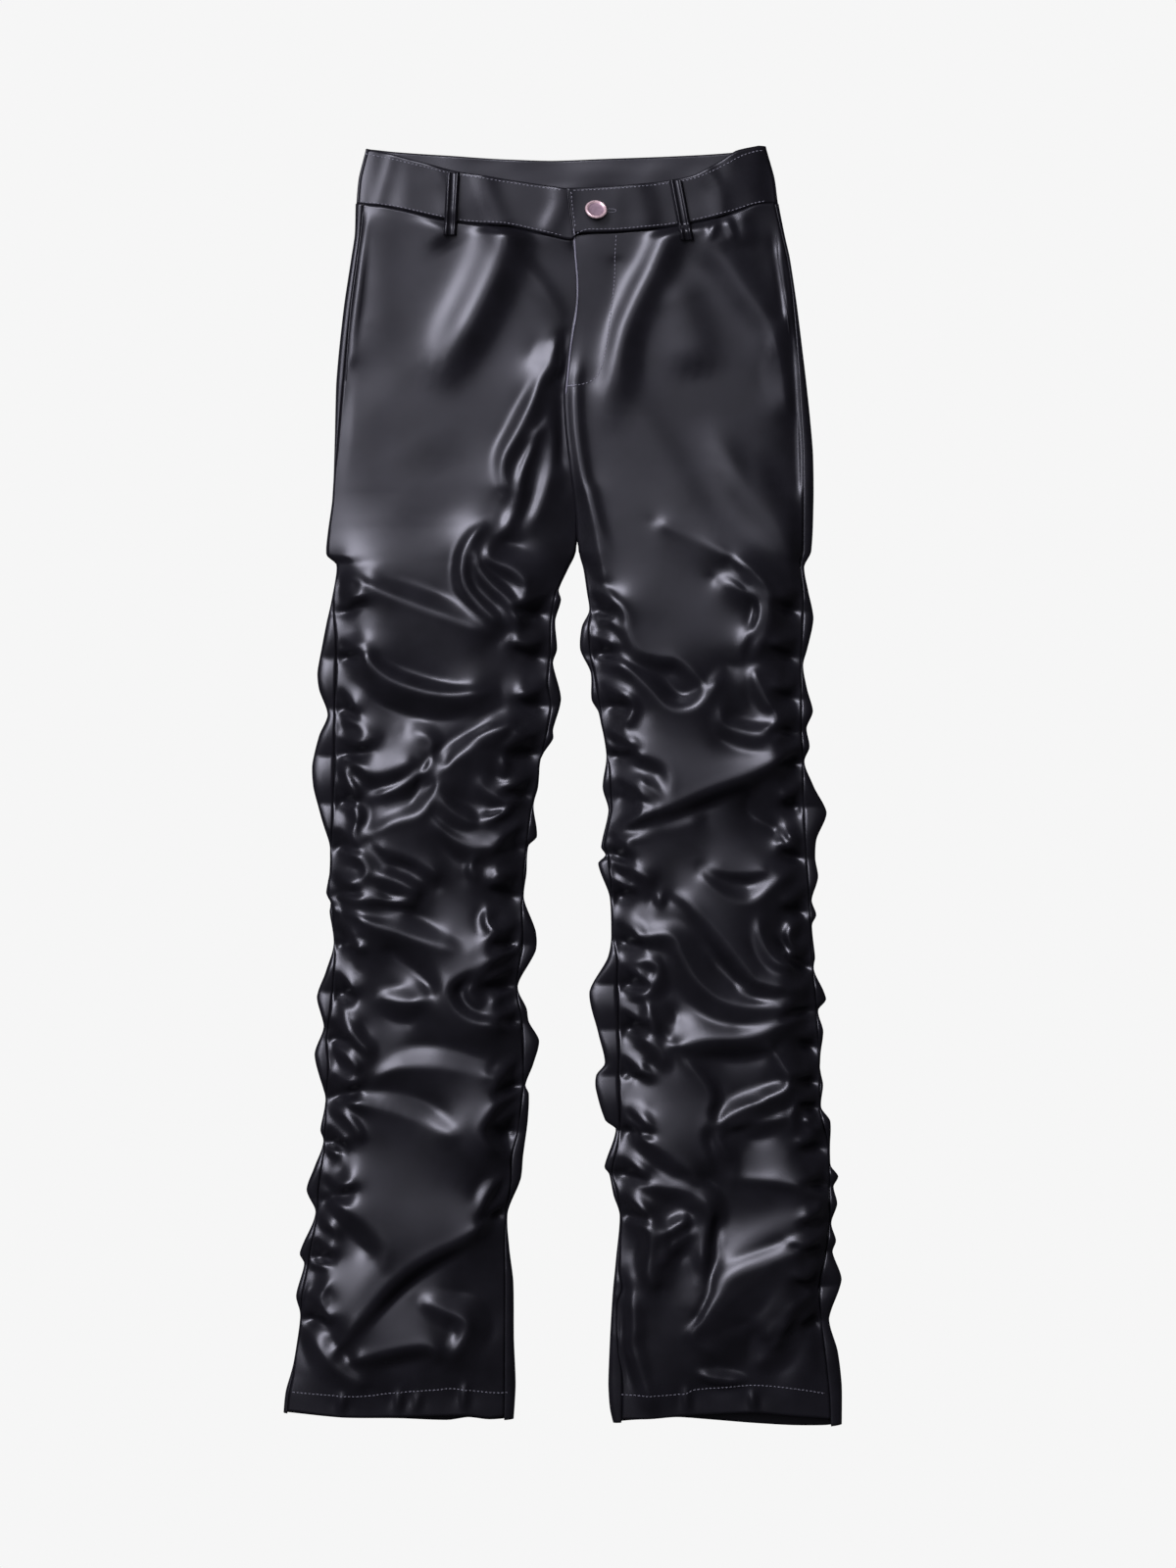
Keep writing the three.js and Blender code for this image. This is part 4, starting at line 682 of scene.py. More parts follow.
def hold_folds(leg, x, y, base, cell):
    """How hard each point of a grid is held, and the height that it is held at times that."""
    m, n = x.shape[0] - 1, x.shape[1] - 1
    weight = np.full(x.shape, (cell / PULL) ** 2)
    pulled = base * weight + FULLNESS * ease((190 - y) / 40) * cell ** 2
    for fold in leg.folds:
        for path, height, hold in fold.lines(cell / 2):
            row = clamp((LEG_TOP - path[:, 1]) / cell, 0, m - 1e-3)
            r = row.astype(int)
            column = clamp([np.interp(leg.sign * at, leg.sign * x[i], np.arange(n + 1))
                            for at, i in zip(path[:, 0], r)], 0, n - 1e-3)
            c = column.astype(int)
            fr, fc = row - r, column - c
            for dr, share_down in ((0, 1 - fr), (1, fr)):
                for dc, share_across in ((0, 1 - fc), (1, fc)):
                    corner = (r + dr, c + dc)
                    held = share_down * share_across * hold / 2
                    np.add.at(weight, corner, held)
                    np.add.at(pulled, corner, held * (base[corner] + sizes().fold_lift * height))
    return weight, pulled


def settle(z, weight, pulled):
    """Draws a grid tight between the places where it is held. Its top row and its sides stay."""
    odd = (np.add.outer(np.arange(z.shape[0]), np.arange(z.shape[1])) % 2).astype(bool)
    free = np.ones(z.shape, bool)
    free[:, 0] = free[:, -1] = free[0] = False
    for turn in range(TURNS):
        for half in (odd & free, ~odd & free):
            padded = np.pad(z, 1, mode="edge")
            neighbours = padded[:-2, 1:-1] + padded[2:, 1:-1] + padded[1:-1, :-2] + padded[1:-1, 2:]
            settled = (neighbours + pulled) / (4 + weight)
            z[half] += HASTE * (settled - z)[half]


def surface_height(leg, px, py):
    """Height of a finished front at places, from the nearest point and its slopes, which add no more than most."""
    most = 2
    x, y, z = leg.surface
    px, py = np.asarray(px, float).ravel(), np.asarray(py, float).ravel()
    found = np.empty(len(px))
    for i, (a, b) in enumerate(zip(px, py)):
        r, c = np.unravel_index(np.argmin((x - a) ** 2 + (y - b) ** 2), x.shape)
        r, c = min(r, x.shape[0] - 2), min(c, x.shape[1] - 2)
        across = (z[r, c + 1] - z[r, c]) / (x[r, c + 1] - x[r, c])
        down = (z[r + 1, c] - z[r, c]) / (y[r + 1, c] - y[r, c])
        found[i] = z[r, c] + clamp(across * (a - x[r, c]), -most, most) + clamp(down * (b - y[r, c]), -most, most)
    return found


def spread(z, m, n):
    """A grid read at m by n steps."""
    r, c = np.linspace(0, z.shape[0] - 1.001, m + 1), np.linspace(0, z.shape[1] - 1.001, n + 1)
    i, j = r.astype(int), c.astype(int)
    fr, fc = (r - i)[:, None], (c - j)[None, :]
    return ((1 - fr) * (1 - fc) * z[np.ix_(i, j)] + (1 - fr) * fc * z[np.ix_(i, j + 1)]
            + fr * (1 - fc) * z[np.ix_(i + 1, j)] + fr * fc * z[np.ix_(i + 1, j + 1)])


def soften(z, turns):
    """Rounds the creases of a grid, whose border stays."""
    for turn in range(turns):
        inner = (z[:-2, 1:-1] + z[2:, 1:-1] + z[1:-1, :-2] + z[1:-1, 2:]) / 4
        z[1:-1, 1:-1] = mix(z[1:-1, 1:-1], inner, 0.6)
    return z


def row_y(station, x, waist, hem):
    """The y of a place in a row, which bends towards the waist and hem lines near its grid's ends."""
    top = ease((station - LEG_TOP + WAIST_BEND) / WAIST_BEND)
    bottom = ease((LEG_BOTTOM + HEM_BEND - station) / HEM_BEND)
    return station + (waist(x) - SEAM_GAP - LEG_TOP) * top + (hem(x) - LEG_BOTTOM) * bottom


def seams_of(leg, station, waist, hem):
    """The two seams of a panel at a row of its grid."""
    out_y = row_y(station, leg.outseam(station), waist, hem)
    inn_y = row_y(station, leg.inseam(station), waist, hem)
    return outseam_at(leg, out_y), inseam_at(leg, inn_y)


def new_mesh_object(name, bm):
    mesh = bpy.data.meshes.new(name)
    bm.to_mesh(mesh)
    bm.free()
    mesh.polygons.foreach_set("use_smooth", [True] * len(mesh.polygons))
    obj = bpy.data.objects.new(name, mesh)
    bpy.context.scene.collection.objects.link(obj)
    return obj


def placed(x, y, z):
    """A place of the tables, in metres and centred."""
    return (x + CENTRING[0]) * MM, (y + CENTRING[1]) * MM, z * MM


def grid_piece(name, columns, rows, shape):
    """A sheet of cloth from a grid: shape gives places in millimetres for shares across and down. It faces up."""
    bm = bmesh.new()
    bmesh.ops.create_grid(bm, x_segments=columns, y_segments=rows, size=1.0)
    co = np.array([v.co for v in bm.verts])
    across, down = (co[:, 0] + 1) / 2, (1 - co[:, 1]) / 2
    x, y, z = shape(across, down)
    for v, *place in zip(bm.verts, x, y, z):
        v.co = placed(*place)
    bmesh.ops.recalc_face_normals(bm, faces=bm.faces)
    if sum(f.normal.z * f.calc_area() for f in bm.faces) < 0:
        bmesh.ops.reverse_faces(bm, faces=bm.faces)
    return new_mesh_object(name, bm)


def thicken(obj, thickness, offset=-1.0):
    wall = obj.modifiers.new("wall", "SOLIDIFY")
    wall.thickness = thickness
    wall.offset = offset
    return obj


def finish_piece(obj, material, slot, *nodes):
    obj.data.materials.append(material)
    if nodes:
        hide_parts(*nodes)
    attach(obj, "root")
    return obj


def principled(name, **inputs):
    material = bpy.data.materials.new(name)
    material.use_nodes = True
    shader = material.node_tree.nodes["Principled BSDF"]
    for key, value in inputs.items():
        shader.inputs[key.replace("_", " ")].default_value = value
    return material, material.node_tree, shader


def noise_on(tree, scale, detail):
    """A noise texture that stays on the object."""
    place = tree.nodes.new("ShaderNodeTexCoord")
    texture = tree.nodes.new("ShaderNodeTexNoise")
    texture.inputs["Scale"].default_value = scale
    texture.inputs["Detail"].default_value = detail
    tree.links.new(place.outputs["Object"], texture.inputs["Vector"])
    return texture.outputs["Fac"]


def vary_colour(tree, shader, scale, dark, light):
    """A base colour that drifts between two."""
    ramp = tree.nodes.new("ShaderNodeValToRGB")
    ramp.color_ramp.elements[0].position, ramp.color_ramp.elements[1].position = 0.35, 0.65
    ramp.color_ramp.elements[0].color, ramp.color_ramp.elements[1].color = (*dark, 1), (*light, 1)
    tree.links.new(noise_on(tree, scale, 3), ramp.inputs["Fac"])
    tree.links.new(ramp.outputs["Color"], shader.inputs["Base Color"])


def vary_roughness(tree, shader, scale, low, high):
    """A roughness that drifts between two."""
    span = tree.nodes.new("ShaderNodeMapRange")
    span.inputs["From Min"].default_value, span.inputs["From Max"].default_value = 0.3, 0.7
    span.inputs["To Min"].default_value, span.inputs["To Max"].default_value = low, high
    tree.links.new(noise_on(tree, scale, 4), span.inputs["Value"])
    tree.links.new(span.outputs["Result"], shader.inputs["Roughness"])


def roughen(tree, shader, scale, strength, depth):
    """A fine bump."""
    bump = tree.nodes.new("ShaderNodeBump")
    bump.inputs["Strength"].default_value = strength
    bump.inputs["Distance"].default_value = depth
    tree.links.new(noise_on(tree, scale, 3), bump.inputs["Height"])
    tree.links.new(bump.outputs["Normal"], shader.inputs["Normal"])


def coated_leather(name, colour, roughness):
    """Coated cloth: near black, a soft gloss that varies a little, and a fine grain."""
    material, tree, shader = principled(name, Specular_IOR_Level=0.55)
    vary_colour(tree, shader, 35, [0.8 * c for c in colour], [1.25 * c for c in colour])
    vary_roughness(tree, shader, 22, roughness - 0.035, roughness + 0.035)
    roughen(tree, shader, 900, 0.12, 0.0002)
    return material


def found_or_made(name, make, *values):
    return bpy.data.materials.get(name) or make(name, *values)


def leather_material():
    return found_or_made("coated leather", coated_leather, colours().leather, colours().roughness)


def edge_highlight_material():
    """The turned edges, in a pale colour that paints on the highlight line along them."""
    return found_or_made("rubbed edge", coated_leather, colours().rubbed_edge, 0.3)


def thread(name, colour):
    """Twisted polyester thread."""
    material, tree, shader = principled(name)
    vary_colour(tree, shader, 1400, [0.7 * c for c in colour], [1.3 * c for c in colour])
    vary_roughness(tree, shader, 700, 0.42, 0.6)
    roughen(tree, shader, 2600, 0.5, 0.0001)
    return material


def thread_material():
    return found_or_made("thread", thread, colours().thread)


def copper(name, colour, metallic, roughness):
    """Copper plating with small rubbed marks."""
    material, tree, shader = principled(name, Metallic=metallic)
    vary_colour(tree, shader, 420, [0.88 * c for c in colour], [min(1, 1.1 * c) for c in colour])
    vary_roughness(tree, shader, 600, roughness - 0.07, roughness + 0.07)
    roughen(tree, shader, 2200, 0.1, 0.0001)
    return material


def number(name, description, default, **options):
    return bpy.props.FloatProperty(name=name, description=description, default=default, **options)


def colour(name, description, default):
    return bpy.props.FloatVectorProperty(
        name=name, description=description, default=default, subtype="COLOR", size=3)


class TrousersSizes(bpy.types.PropertyGroup):
    wall: number("Wall", "Thickness of the leather", 0.0012, unit="LENGTH")
    band_wall: number("Waistband", "Thickness of the waistband", 0.0022, unit="LENGTH")
    fold_lift: number("Fold lift", "What the heights of the folds are multiplied by", 2.0)
    fineness: number("Fineness", "Distance between the points of a cloth", 0.0022, unit="LENGTH")


class TrousersColours(bpy.types.PropertyGroup):
    leather: colour("Leather", "Colour of the leather", (0.008, 0.0076, 0.0096))
    roughness: number("Roughness", "Roughness of the leather's gloss", 0.33, subtype="FACTOR")
    # Pale colour of the fly's turned edge: a painted highlight line.
    rubbed_edge: colour("Rubbed edge", "Colour of the fly's turned edge", (0.17, 0.165, 0.19))
    thread: colour("Thread", "Colour of the stitches", (0.26, 0.255, 0.28))
    copper_face: colour("Copper face", "Colour of the button's face", (0.36, 0.25, 0.28))
    copper_rim: colour("Copper rim", "Colour of the button's rim", (0.86, 0.62, 0.6))


def sizes():
    return bpy.context.scene.trousers_sizes


def colours():
    return bpy.context.scene.trousers_colours


class TROUSERS_OT_stage(bpy.types.Operator):
    """Pale floor, surround, lights and the camera over the middle of the trousers"""
    bl_idname = "trousers.stage"
    bl_label = "Stage"

    # The length of floor that the picture shows, and what its middle looks down on, in metres.
    FRAME_LENGTH = 1.36
    VIEW_CENTRE = (0.0217, 0.0028, 0.012)

    def execute(self, context):
        scene = context.scene
        scene.view_settings.view_transform = "Standard"
        world = bpy.data.worlds.new("world")
        world.use_nodes = True
        world.node_tree.nodes["Background"].inputs["Color"].default_value = (0.045, 0.043, 0.053, 1)
        scene.world = world
        bm = bmesh.new()
        bmesh.ops.create_circle(bm, cap_ends=True, segments=64, radius=30)
        floor = self.backdrop("floor", bm, 0.922, Roughness=1.0, Specular_IOR_Level=0.0)
        bm = bmesh.new()
        bmesh.ops.create_uvsphere(bm, u_segments=32, v_segments=16, radius=28)
        surround = self.backdrop("surround", bm, 0.92)
        self.light("key", (-1.4, 2.27, 3.0), (2.3, 1.3), 124)
        self.light("fill", (-0.25, 1.3, 3.78), (2.4, 2.4), 13)
        self.light("side", (-2.5, 0.9, 2.9), (1.6, 1.6), 36)
        data = bpy.data.cameras.new("camera")
        data.lens = 85
        data.sensor_width = 36
        camera = bpy.data.objects.new("camera", data)
        scene.collection.objects.link(camera)
        camera.location = Vector(self.VIEW_CENTRE)
        camera.location.z += self.FRAME_LENGTH * data.lens / data.sensor_width
        scene.camera = camera
        return {"FINISHED"}

    def backdrop(self, name, bm, brightness, **inputs):
        """A pale surface that glows by itself, and neither lights nor shades the trousers."""
        obj = new_mesh_object(name, bm)
        material, tree, shader = principled(name, Base_Color=(0, 0, 0, 1), Emission_Color=(1, 1, 1, 1),
                                            Emission_Strength=brightness, **inputs)
        obj.data.materials.append(material)
        obj.visible_glossy = obj.visible_diffuse = obj.visible_shadow = False
        return obj

    def light(self, name, place, size, power):
        data = bpy.data.lights.new(name, "AREA")
        data.shape = "RECTANGLE"
        data.size, data.size_y = size
        data.energy = power
        data.color = (0.95, 0.94, 1.12)
        lamp = bpy.data.objects.new(name, data)
        bpy.context.scene.collection.objects.link(lamp)
        lamp.location = place
        lamp.rotation_euler = (Vector((0, 0, 0)) - Vector(place)).to_track_quat("-Z", "Y").to_euler()


class TROUSERS_OT_fronts(bpy.types.Operator):
    """The two front panels, pushed into folds over the backs"""
    bl_idname = "trousers.fronts"
    bl_label = "Fronts"

    # About how wide a front is, in metres.
    WIDTH = 0.2

    def execute(self, context):
        for side, leg in LEGS.items():
            coarsest = STRIDES[0]
            rows = coarsest * round((LEG_TOP - LEG_BOTTOM) * MM / sizes().fineness / coarsest)
            columns = coarsest * round(self.WIDTH / sizes().fineness / coarsest)
            x, y, z = front_relief(leg, columns, rows)
            leg.surface = (x, y, soften(z, 3))

            def shape(across, down, leg=leg):
                place = np.rint(down * rows).astype(int), np.rint(across * columns).astype(int)
                return [grid[place] for grid in leg.surface]

            front = thicken(grid_piece(f"front_{side}_cloth", columns, rows, shape), sizes().wall)
            finish_piece(front, leather_material(), "leather", f"front_{side}")
        return {"FINISHED"}


class TROUSERS_OT_backs(bpy.types.Operator):
    """The two back panels, which roll up round each side to the seams"""
    bl_idname = "trousers.backs"
    bl_label = "Backs"

    ROLL_SHARE = 0.22   # share of a row that each rolled side takes
    MIDDLE_RUN = 12     # width that takes its place at the middle, above the crotch

    def execute(self, context):
        for side, leg in LEGS.items():
            rows = round((LEG_TOP - LEG_BOTTOM) * MM / sizes().fineness)

            def shape(across, down, leg=leg):
                station = mix(LEG_TOP, LEG_BOTTOM, down)
                out, inn = seams_of(leg, station, back_seam, back_hem)
                x, z = self.section(leg, out, inn, station, across)
                return x, row_y(station, x, back_seam, back_hem), z

            back = grid_piece(f"back_{side}_cloth", 90, rows, shape)
            back.data.flip_normals()
            thicken(back, sizes().wall)
            finish_piece(back, leather_material(), "leather", f"back_{side}")
        return {"FINISHED"}

    def section(self, leg, out, inn, station, across):
        """Places round one row: seam, roll, floor, roll, seam."""
        outer = clamp(across / self.ROLL_SHARE)
        inner = clamp((1 - across) / self.ROLL_SHARE)
        outer_x, outer_z = self.roll(out, outer, leg.sign)
        inner_x, inner_z = self.roll(inn, inner, -leg.sign)
        above = station >= CROTCH_Y
        flat_x = inn.edge - leg.sign * mix(self.MIDDLE_RUN, -0.4, 1 - inner)
        inner_x, inner_z = np.where(above, flat_x, inner_x), np.where(above, 0, inner_z)
        floor_out = self.roll(out, np.ones_like(across), leg.sign)[0]
        floor_in = self.roll(inn, np.ones_like(across), -leg.sign)[0]
        floor_in = np.where(above, inn.edge - leg.sign * self.MIDDLE_RUN, floor_in)
        floor_x = mix(floor_out, floor_in, clamp((across - self.ROLL_SHARE) / (1 - 2 * self.ROLL_SHARE)))
        on_outer, on_inner = across < self.ROLL_SHARE, across > 1 - self.ROLL_SHARE
        x = np.where(on_outer, outer_x, np.where(on_inner, inner_x, floor_x))
        return x, np.where(on_outer, outer_z, np.where(on_inner, inner_z, 0))

    def roll(self, seam, t, inward):
        """The rolled side: t runs from the seam, 0, to the surface it rests on, 1."""
        half_gap = SEAM_GAP / 2
        top_x, top_z = seam.x - inward * half_gap, seam.z - (1 - seam.turn) * half_gap
        gap = np.abs(seam.x - seam.edge)
        knee_x = seam.edge - inward * 0.25 * gap
        knee_z = seam.full * mix(0.4, 1.05, seam.turn)
        low_x = seam.edge - inward * mix(0.2, 1.6, seam.turn)
        end_x = seam.edge + inward * 5
        a, b, c, d = (1 - t) ** 3, 3 * t * (1 - t) ** 2, 3 * t * t * (1 - t), t ** 3
        return a * top_x + b * knee_x + c * low_x + d * end_x, a * top_z + b * knee_z


BAND_LEFT = -180      # the waistband's sides
BAND_RIGHT = 188
BAND_SIDE = 5         # its height at them
BAND_SEAM_HEIGHT = 14.4
BAND_TOP_HEIGHT = 16
CLOSURE_X = 4         # where the right half ends, at its top
CLOSURE_SLANT = 5     # how far that end slants towards its foot
BAND_LAP = 36         # how far the left half runs on under it
LAP_RISE = 2.7        # how much higher the right half lies there
FLY_STEP_X = 8.9      # where the waist seam steps up at the fly

# Soft rises across the waistband, in the columns of the swells.
BAND_SWELLS = (
    (2.2, 9, 12, (-150, 555), (-156, 530), (-163, 505)),
    (2, 8, 10, (-118, 545), (-104, 522), (-98, 500)),
    (3, 12, 10, (-70, 535), (-66, 515), (-56, 490)),
    (2, 10, 8, (-2, 525), (-3, 505), (-12, 485)),
    (2.4, 12, 12, (66, 525), (70, 505), (72, 480)),
    (2, 8, 10, (124, 535), (134, 518), (138, 490)),
    (2.6, 9, 14, (172, 560), (168, 535), (170, 505)),
)


def band_height(x, y):
    """Height of the waistband's outside at places, without the lap at the closure."""
    x, y = np.asarray(x, float), np.asarray(y, float)
    from_side = np.minimum(x - BAND_LEFT, BAND_RIGHT - x)
    low = waist_seam(x)
    share = clamp((y - low) / (front_top(x) - low))
    waves = 0.5 * ripple(x.ravel(), y.ravel(), 26, 1.3).reshape(x.shape)
    waves += sum(swell(x, y, *row) for row in BAND_SWELLS) * ease(from_side / 12)
    full = mix(BAND_SEAM_HEIGHT, BAND_TOP_HEIGHT, share)
    return mix(BAND_SIDE, full, ease(from_side / 48)) + waves - 1


def lap_rise(x):
    """How much higher the right half lies where it is over the left."""
    return LAP_RISE * ease((75 - x) / 30)


class TROUSERS_OT_waistband(bpy.types.Operator):
    """The waistband: two front halves, the right one lapped over the left, and the back"""
    bl_idname = "trousers.waistband"
    bl_label = "Waistband"

    def execute(self, context):
        for side, leg in LEGS.items():
            band = grid_piece(f"waistband_{side}_cloth", 90, 20, self.front_shape(side, leg))
            thicken(band, sizes().band_wall)
            finish_piece(band, leather_material(), "waistband", f"waistband_{side}")
        back = thicken(grid_piece("waistband_back_cloth", 150, 22, self.back_shape()), sizes().band_wall, 1.0)
        finish_piece(back, leather_material(), "waistband", "waistband_back")
        return {"FINISHED"}

    def front_shape(self, side, leg):
        right = side == "right"

        def shape(across, down):
            closure = CLOSURE_X + (CLOSURE_SLANT * down if right else BAND_LAP)
            rough = mix(BAND_RIGHT if right else BAND_LEFT, closure, across)
            under = (rough > FLY_STEP_X) & (not right)
            low = waist_seam(np.where(under, np.maximum(rough, FLY_STEP_X + 0.7), rough)) - 0.2 + 1.5 * under
            y = mix(low, front_top(rough), 1 - down)
            x = mix(leg.edge(y) + leg.sign * 2, closure, across)
            return x, y, band_height(x, y) + (lap_rise(x) if right else 0)

        return shape

    def back_shape(self):
        def shape(across, down):
            rough = mix(BAND_LEFT + 4, BAND_RIGHT - 6, across)
            y = mix(back_seam(rough) + SEAM_GAP, back_top(rough), 1 - down)
            left, right = LEGS["left"].edge(y), LEGS["right"].edge(y)
            x = mix(left + 0.6, right - 0.6, across)
            side = np.minimum(x - left, right - x)
            rise = 0.5 + 0.5 * ripple(x / 2.2, y, 17, 5.5)
            z = 2.4 * ease(1 - side / 5) + 2.2 * rise * ease(side / 20) * ease((1 - down) * 2)
            return x, y, z

        return shape


class TROUSERS_OT_loops(bpy.types.Operator):
    """Two belt loops, each a doubled strip with raised edges"""
    bl_idname = "trousers.loops"
    bl_label = "Belt loops"

    # Side, and the middle of the top and of the foot: (x, y).
    PLACES = (
        ("left", (-94.5, 532.5), (-97.5, 478)),
        ("right", (98, 526), (108, 473.5)),
    )
    WIDTH = 11.5
    STAND_OFF = 2.3   # height of a loop over what is under it
    SLACK = 2         # how much more that is half-way down
    RIDGE = 1.9       # height of its raised edges

    def execute(self, context):
        for side, top, foot in self.PLACES:
            def shape(across, down, leg=LEGS[side], top=top, foot=foot):
                x = mix(top[0], foot[0], down) + (across - 0.5) * self.WIDTH
                y = mix(top[1], foot[1], down)
                front = surface_height(leg, x, np.minimum(y, waist_seam(x)))
                band = band_height(x, y)
                under = mix(band, np.maximum(band, front), ease((waist_seam(x) + 12 - y) / 10))
                off_middle = np.abs(across - 0.5)
                ridge = self.RIDGE * np.exp(-(((off_middle - 0.3) / 0.13) ** 2)) - 1.2 * ease(off_middle * 10 - 4)
                return x, y, under + self.STAND_OFF + ridge + self.SLACK * np.sin(np.pi * down)

            loop = thicken(grid_piece(f"belt_loop_{side}_strip", 26, 48, shape), 0.0015)
            finish_piece(loop, leather_material(), "waistband", f"belt_loop_{side}")
        return {"FINISHED"}


# Edges and rows of stitches, besides those down the fly: (x, y).
FLY_EDGE = (
    (10.2, 480), (11, 465), (12.3, 450), (13.2, 436), (13, 422), (11.5, 408), (9.2, 395), (7, 380), (5.6, 366),
    (4.2, 352), (3, 341),
)
LEFT_HEM_STITCHES = (
    (-235, -525), (-190, -527), (-170, -527), (-150, -525), (-110, -522), (-95, -521), (-60, -525), (-45, -525),
)
RIGHT_HEM_STITCHES = (
    (47, -527), (100, -526), (115, -522), (140, -520), (165, -518), (200, -521), (228, -526),
)
CLOSURE_EDGE = ((4.3, 519), (5, 511), (6.6, 497), (8.8, 480))
LEFT_POCKET = ((-173, 500), (-175, 480), (-179, 450), (-183, 420), (-186, 385), (-188, 352))
RIGHT_POCKET = ((185.5, 480), (187, 462), (190, 440), (194, 415), (197, 392))


def stitches(name, points, height, length=2.3, gap=1.2, radius=0.36):
    """A row of stitches along a line, laid on the surface that height(x, y) gives."""
    path = smooth_path(points, 0.5)
    gone = distances(path)
    starts = np.arange(0.5, gone[-1] - length, length + gap)
    ends = [np.stack([np.interp(at, gone, path[:, 0]), np.interp(at, gone, path[:, 1])], 1)
            for at in (starts, starts + length)]
    heights = [np.asarray(height(e[:, 0], e[:, 1]), float) for e in ends]
    bm = bmesh.new()
    for (ax, ay), (bx, by), az, bz in zip(*ends, *heights):
        a, b = Vector(placed(ax, ay, az)), Vector(placed(bx, by, bz))
        turn = (b - a).to_track_quat("X", "Z").to_matrix().to_4x4()
        size = Matrix.Diagonal(((b - a).length / 2 + radius * MM, radius * MM, radius * MM, 1))
        place = Matrix.Translation((a + b) / 2)
        bmesh.ops.create_icosphere(bm, subdivisions=1, radius=1, matrix=place @ turn @ size)
    row = new_mesh_object(name, bm)
    return finish_piece(row, thread_material(), "leather")


def rolled_edge(name, points, height, radius, material):
    """The rounded turn of a cloth's edge, as a thin roll along a line."""
    path = smooth_path(points, 1.5)
    z = np.asarray(height(path[:, 0], path[:, 1]), float)
    for turn in range(3):
        z[1:-1] = (z[:-2] + z[1:-1] + z[2:]) / 3
    along = directions(path)
    facets = 8
    bm = bmesh.new()
    bmesh.ops.create_grid(bm, x_segments=facets, y_segments=len(path) - 1, size=1.0)
    for v in bm.verts:
        i = round((v.co.y + 1) / 2 * (len(path) - 1))
        turn = (v.co.x + 1) * math.pi
        thin = radius * math.sqrt(min(1, (min(i, len(path) - 1 - i) + 0.2) / 3))
        side = thin * math.cos(turn)
        v.co = placed(path[i, 0] - along[i, 1] * side, path[i, 1] + along[i, 0] * side,
                      z[i] + thin * math.sin(turn))
    bmesh.ops.remove_doubles(bm, verts=bm.verts, dist=1e-6)
    bmesh.ops.recalc_face_normals(bm, faces=bm.faces)
    return finish_piece(new_mesh_object(name, bm), material, "leather")


def on_front(side, lift=0.15):
    return lambda x, y: surface_height(LEGS[side], x, y) + lift


def on_band(lift=0.15):
    def height(x, y):
        return band_height(x, y) + lap_rise(x) * (x > CLOSURE_X) + lift

    return height


class TROUSERS_OT_stitching(bpy.types.Operator):
    """The rows of stitches on the waistband, the fly and the hems"""
    bl_idname = "trousers.stitching"
    bl_label = "Stitching"

    def execute(self, context):
        for side, first, last in (("left", -172, 2), ("right", 9, 177)):
            xs = np.linspace(first, last, 16)
            stitches(f"band_foot_stitches_{side}", np.stack([xs, waist_seam(xs) + 2.2], 1), on_band())
            stitches(f"band_top_stitches_{side}", np.stack([xs, front_top(xs) - 2.2], 1), on_band())
        # The fly's edge is coloured pale: a painted highlight line.
        rolled_edge("fly_edge", FLY_EDGE, on_front("right", 0.5), 0.9, edge_highlight_material())
        rolled_edge("pocket_edge_left", LEFT_POCKET, on_front("left", 0), 0.8, leather_material())
        rolled_edge("pocket_edge_right", RIGHT_POCKET, on_front("right", 0), 0.8, leather_material())
        rolled_edge("closure_edge", CLOSURE_EDGE, on_band(0), 0.7, leather_material())
        stitches("fly_stitches", FLY_STITCHES, on_front("right"))
        stitches("fly_end_tack", ((3.5, 348.2), (12, 347.8)), on_front("right", 0.3), 1.6, 0.1, 0.6)
        stitches("closure_stitches", ((7.5, 516), (9, 500), (11.5, 483)), on_band())
        stitches("closure_foot_tack", ((9.5, 484), (10.5, 479)), on_band(0.4), 1.4, 0.1, 0.6)
        for side, points in (("left", LEFT_HEM_STITCHES), ("right", RIGHT_HEM_STITCHES)):
            stitches(f"hem_stitches_{side}", points, on_front(side))
        return {"FINISHED"}


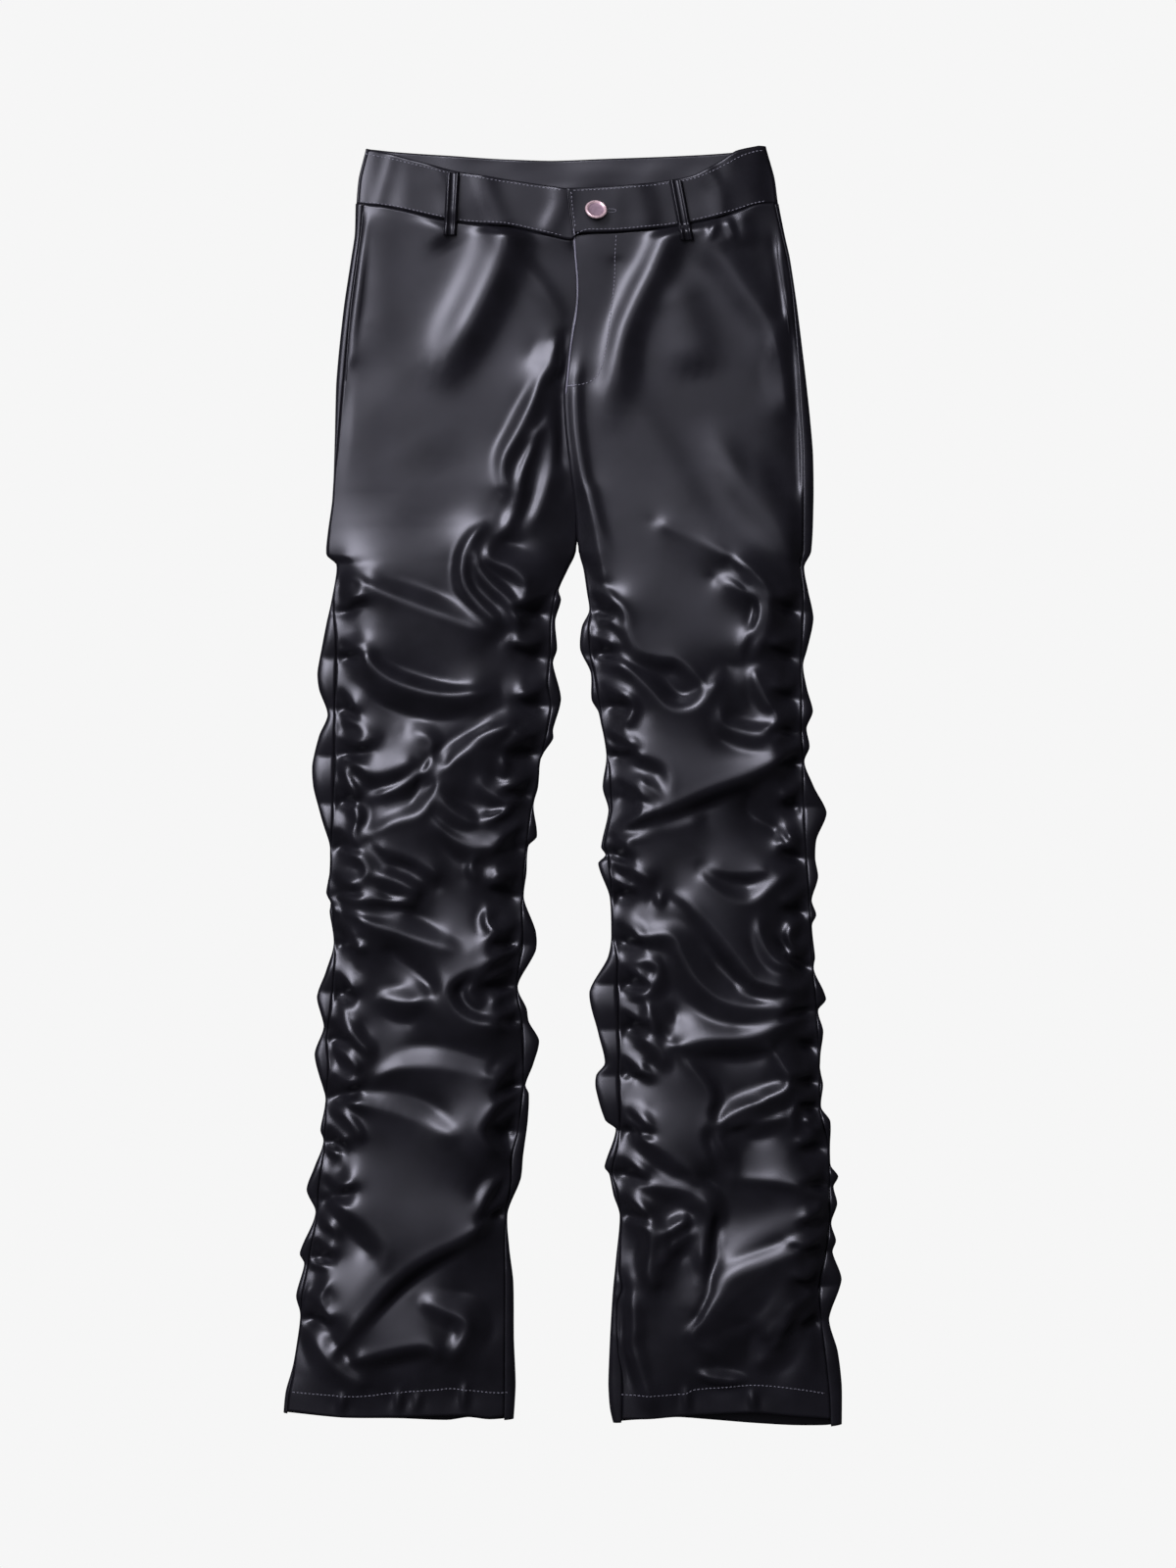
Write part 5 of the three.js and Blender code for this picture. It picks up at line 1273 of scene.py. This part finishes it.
class TROUSERS_OT_button(bpy.types.Operator):
    """The copper button with its raised rim, and the stitched buttonhole"""
    bl_idname = "trousers.button"
    bl_label = "Button"

    PLACE = (29, 499)
    BUTTONHOLE = (42, 499.6)
    SHANK = 4.8   # height of the face's foot over the waistband
    FACE = 6.6    # radius that has the face's own colour
    # The lathed outline from the middle of the face round to the shank: (radius, height).
    PROFILE = (
        (0, 1.3), (5.6, 1.3), (6.9, 1.5), (7.5, 2.3), (8.2, 2.7), (9.0, 2.4), (9.6, 1.5), (9.3, 0.5), (7.9, 0),
        (3.2, -0.4), (3.2, -4.6), (0, -4.6),
    )

    def execute(self, context):
        bm = bmesh.new()
        outline = [bm.verts.new((radius * MM, 0, height * MM)) for radius, height in self.PROFILE]
        edges = [bm.edges.new(pair) for pair in zip(outline, outline[1:])]
        bmesh.ops.spin(bm, geom=outline + edges, cent=(0, 0, 0), axis=(0, 0, 1), angle=2 * math.pi, steps=48,
                       use_merge=True)
        bmesh.ops.remove_doubles(bm, verts=bm.verts, dist=1e-7)
        bmesh.ops.recalc_face_normals(bm, faces=bm.faces)
        x, y = self.PLACE
        seat = band_height([x], [y])[0] + LAP_RISE + self.SHANK
        place = Matrix.Translation(Vector(placed(x, y, seat)))
        turn = Matrix.Rotation(-0.5, 4, "X") @ Matrix.Rotation(0.12, 4, "Y")
        bmesh.ops.transform(bm, matrix=place @ turn, verts=bm.verts)
        button = new_mesh_object("button_copper", bm)
        face = copper("copper face", colours().copper_face, 0.35, 0.5)
        rim = copper("copper rim", colours().copper_rim, 0.4, 0.3)
        finish_piece(button, face, "button", "button")
        button.data.materials.append(rim)
        axis = turn.to_3x3() @ Vector((0, 0, 1))
        for polygon in button.data.polygons:
            out = polygon.center - place.translation
            polygon.material_index = int((out - axis * out.dot(axis)).length > self.FACE * MM)
        x, y = self.BUTTONHOLE
        edge = [(x + 4.6 * math.cos(t), y + 1.5 * math.sin(t)) for t in np.linspace(0, 2 * math.pi, 13)]
        stitches("buttonhole_stitches", edge, on_band(0.2), 1.0, 0.25, 0.3)
        return {"FINISHED"}


class TROUSERS_PT_panel(bpy.types.Panel):
    """The trousers' pieces, in the order they are made"""
    bl_label = "Trousers"
    bl_idname = "TROUSERS_PT_panel"
    bl_space_type = "VIEW_3D"
    bl_region_type = "UI"
    bl_category = "Trousers"

    def draw(self, context):
        for name in STEPS:
            self.layout.operator(f"trousers.{name}")
        for group in (context.scene.trousers_sizes, context.scene.trousers_colours):
            for key in group.bl_rna.properties.keys():
                if key not in ("rna_type", "name"):
                    self.layout.prop(group, key)


STEPS = ("stage", "fronts", "backs", "waistband", "loops", "stitching", "button")
CLASSES = (
    TrousersSizes, TrousersColours, TROUSERS_OT_stage, TROUSERS_OT_fronts, TROUSERS_OT_backs,
    TROUSERS_OT_waistband, TROUSERS_OT_loops, TROUSERS_OT_stitching, TROUSERS_OT_button, TROUSERS_PT_panel,
)


def register():
    for cls in CLASSES:
        bpy.utils.register_class(cls)
    bpy.types.Scene.trousers_sizes = bpy.props.PointerProperty(type=TrousersSizes)
    bpy.types.Scene.trousers_colours = bpy.props.PointerProperty(type=TrousersColours)


def unregister():
    del bpy.types.Scene.trousers_sizes
    del bpy.types.Scene.trousers_colours
    for cls in reversed(CLASSES):
        bpy.utils.unregister_class(cls)


def main():
    register()
    for name in STEPS:
        getattr(bpy.ops.trousers, name)()


if __name__ == "__main__":
    main()
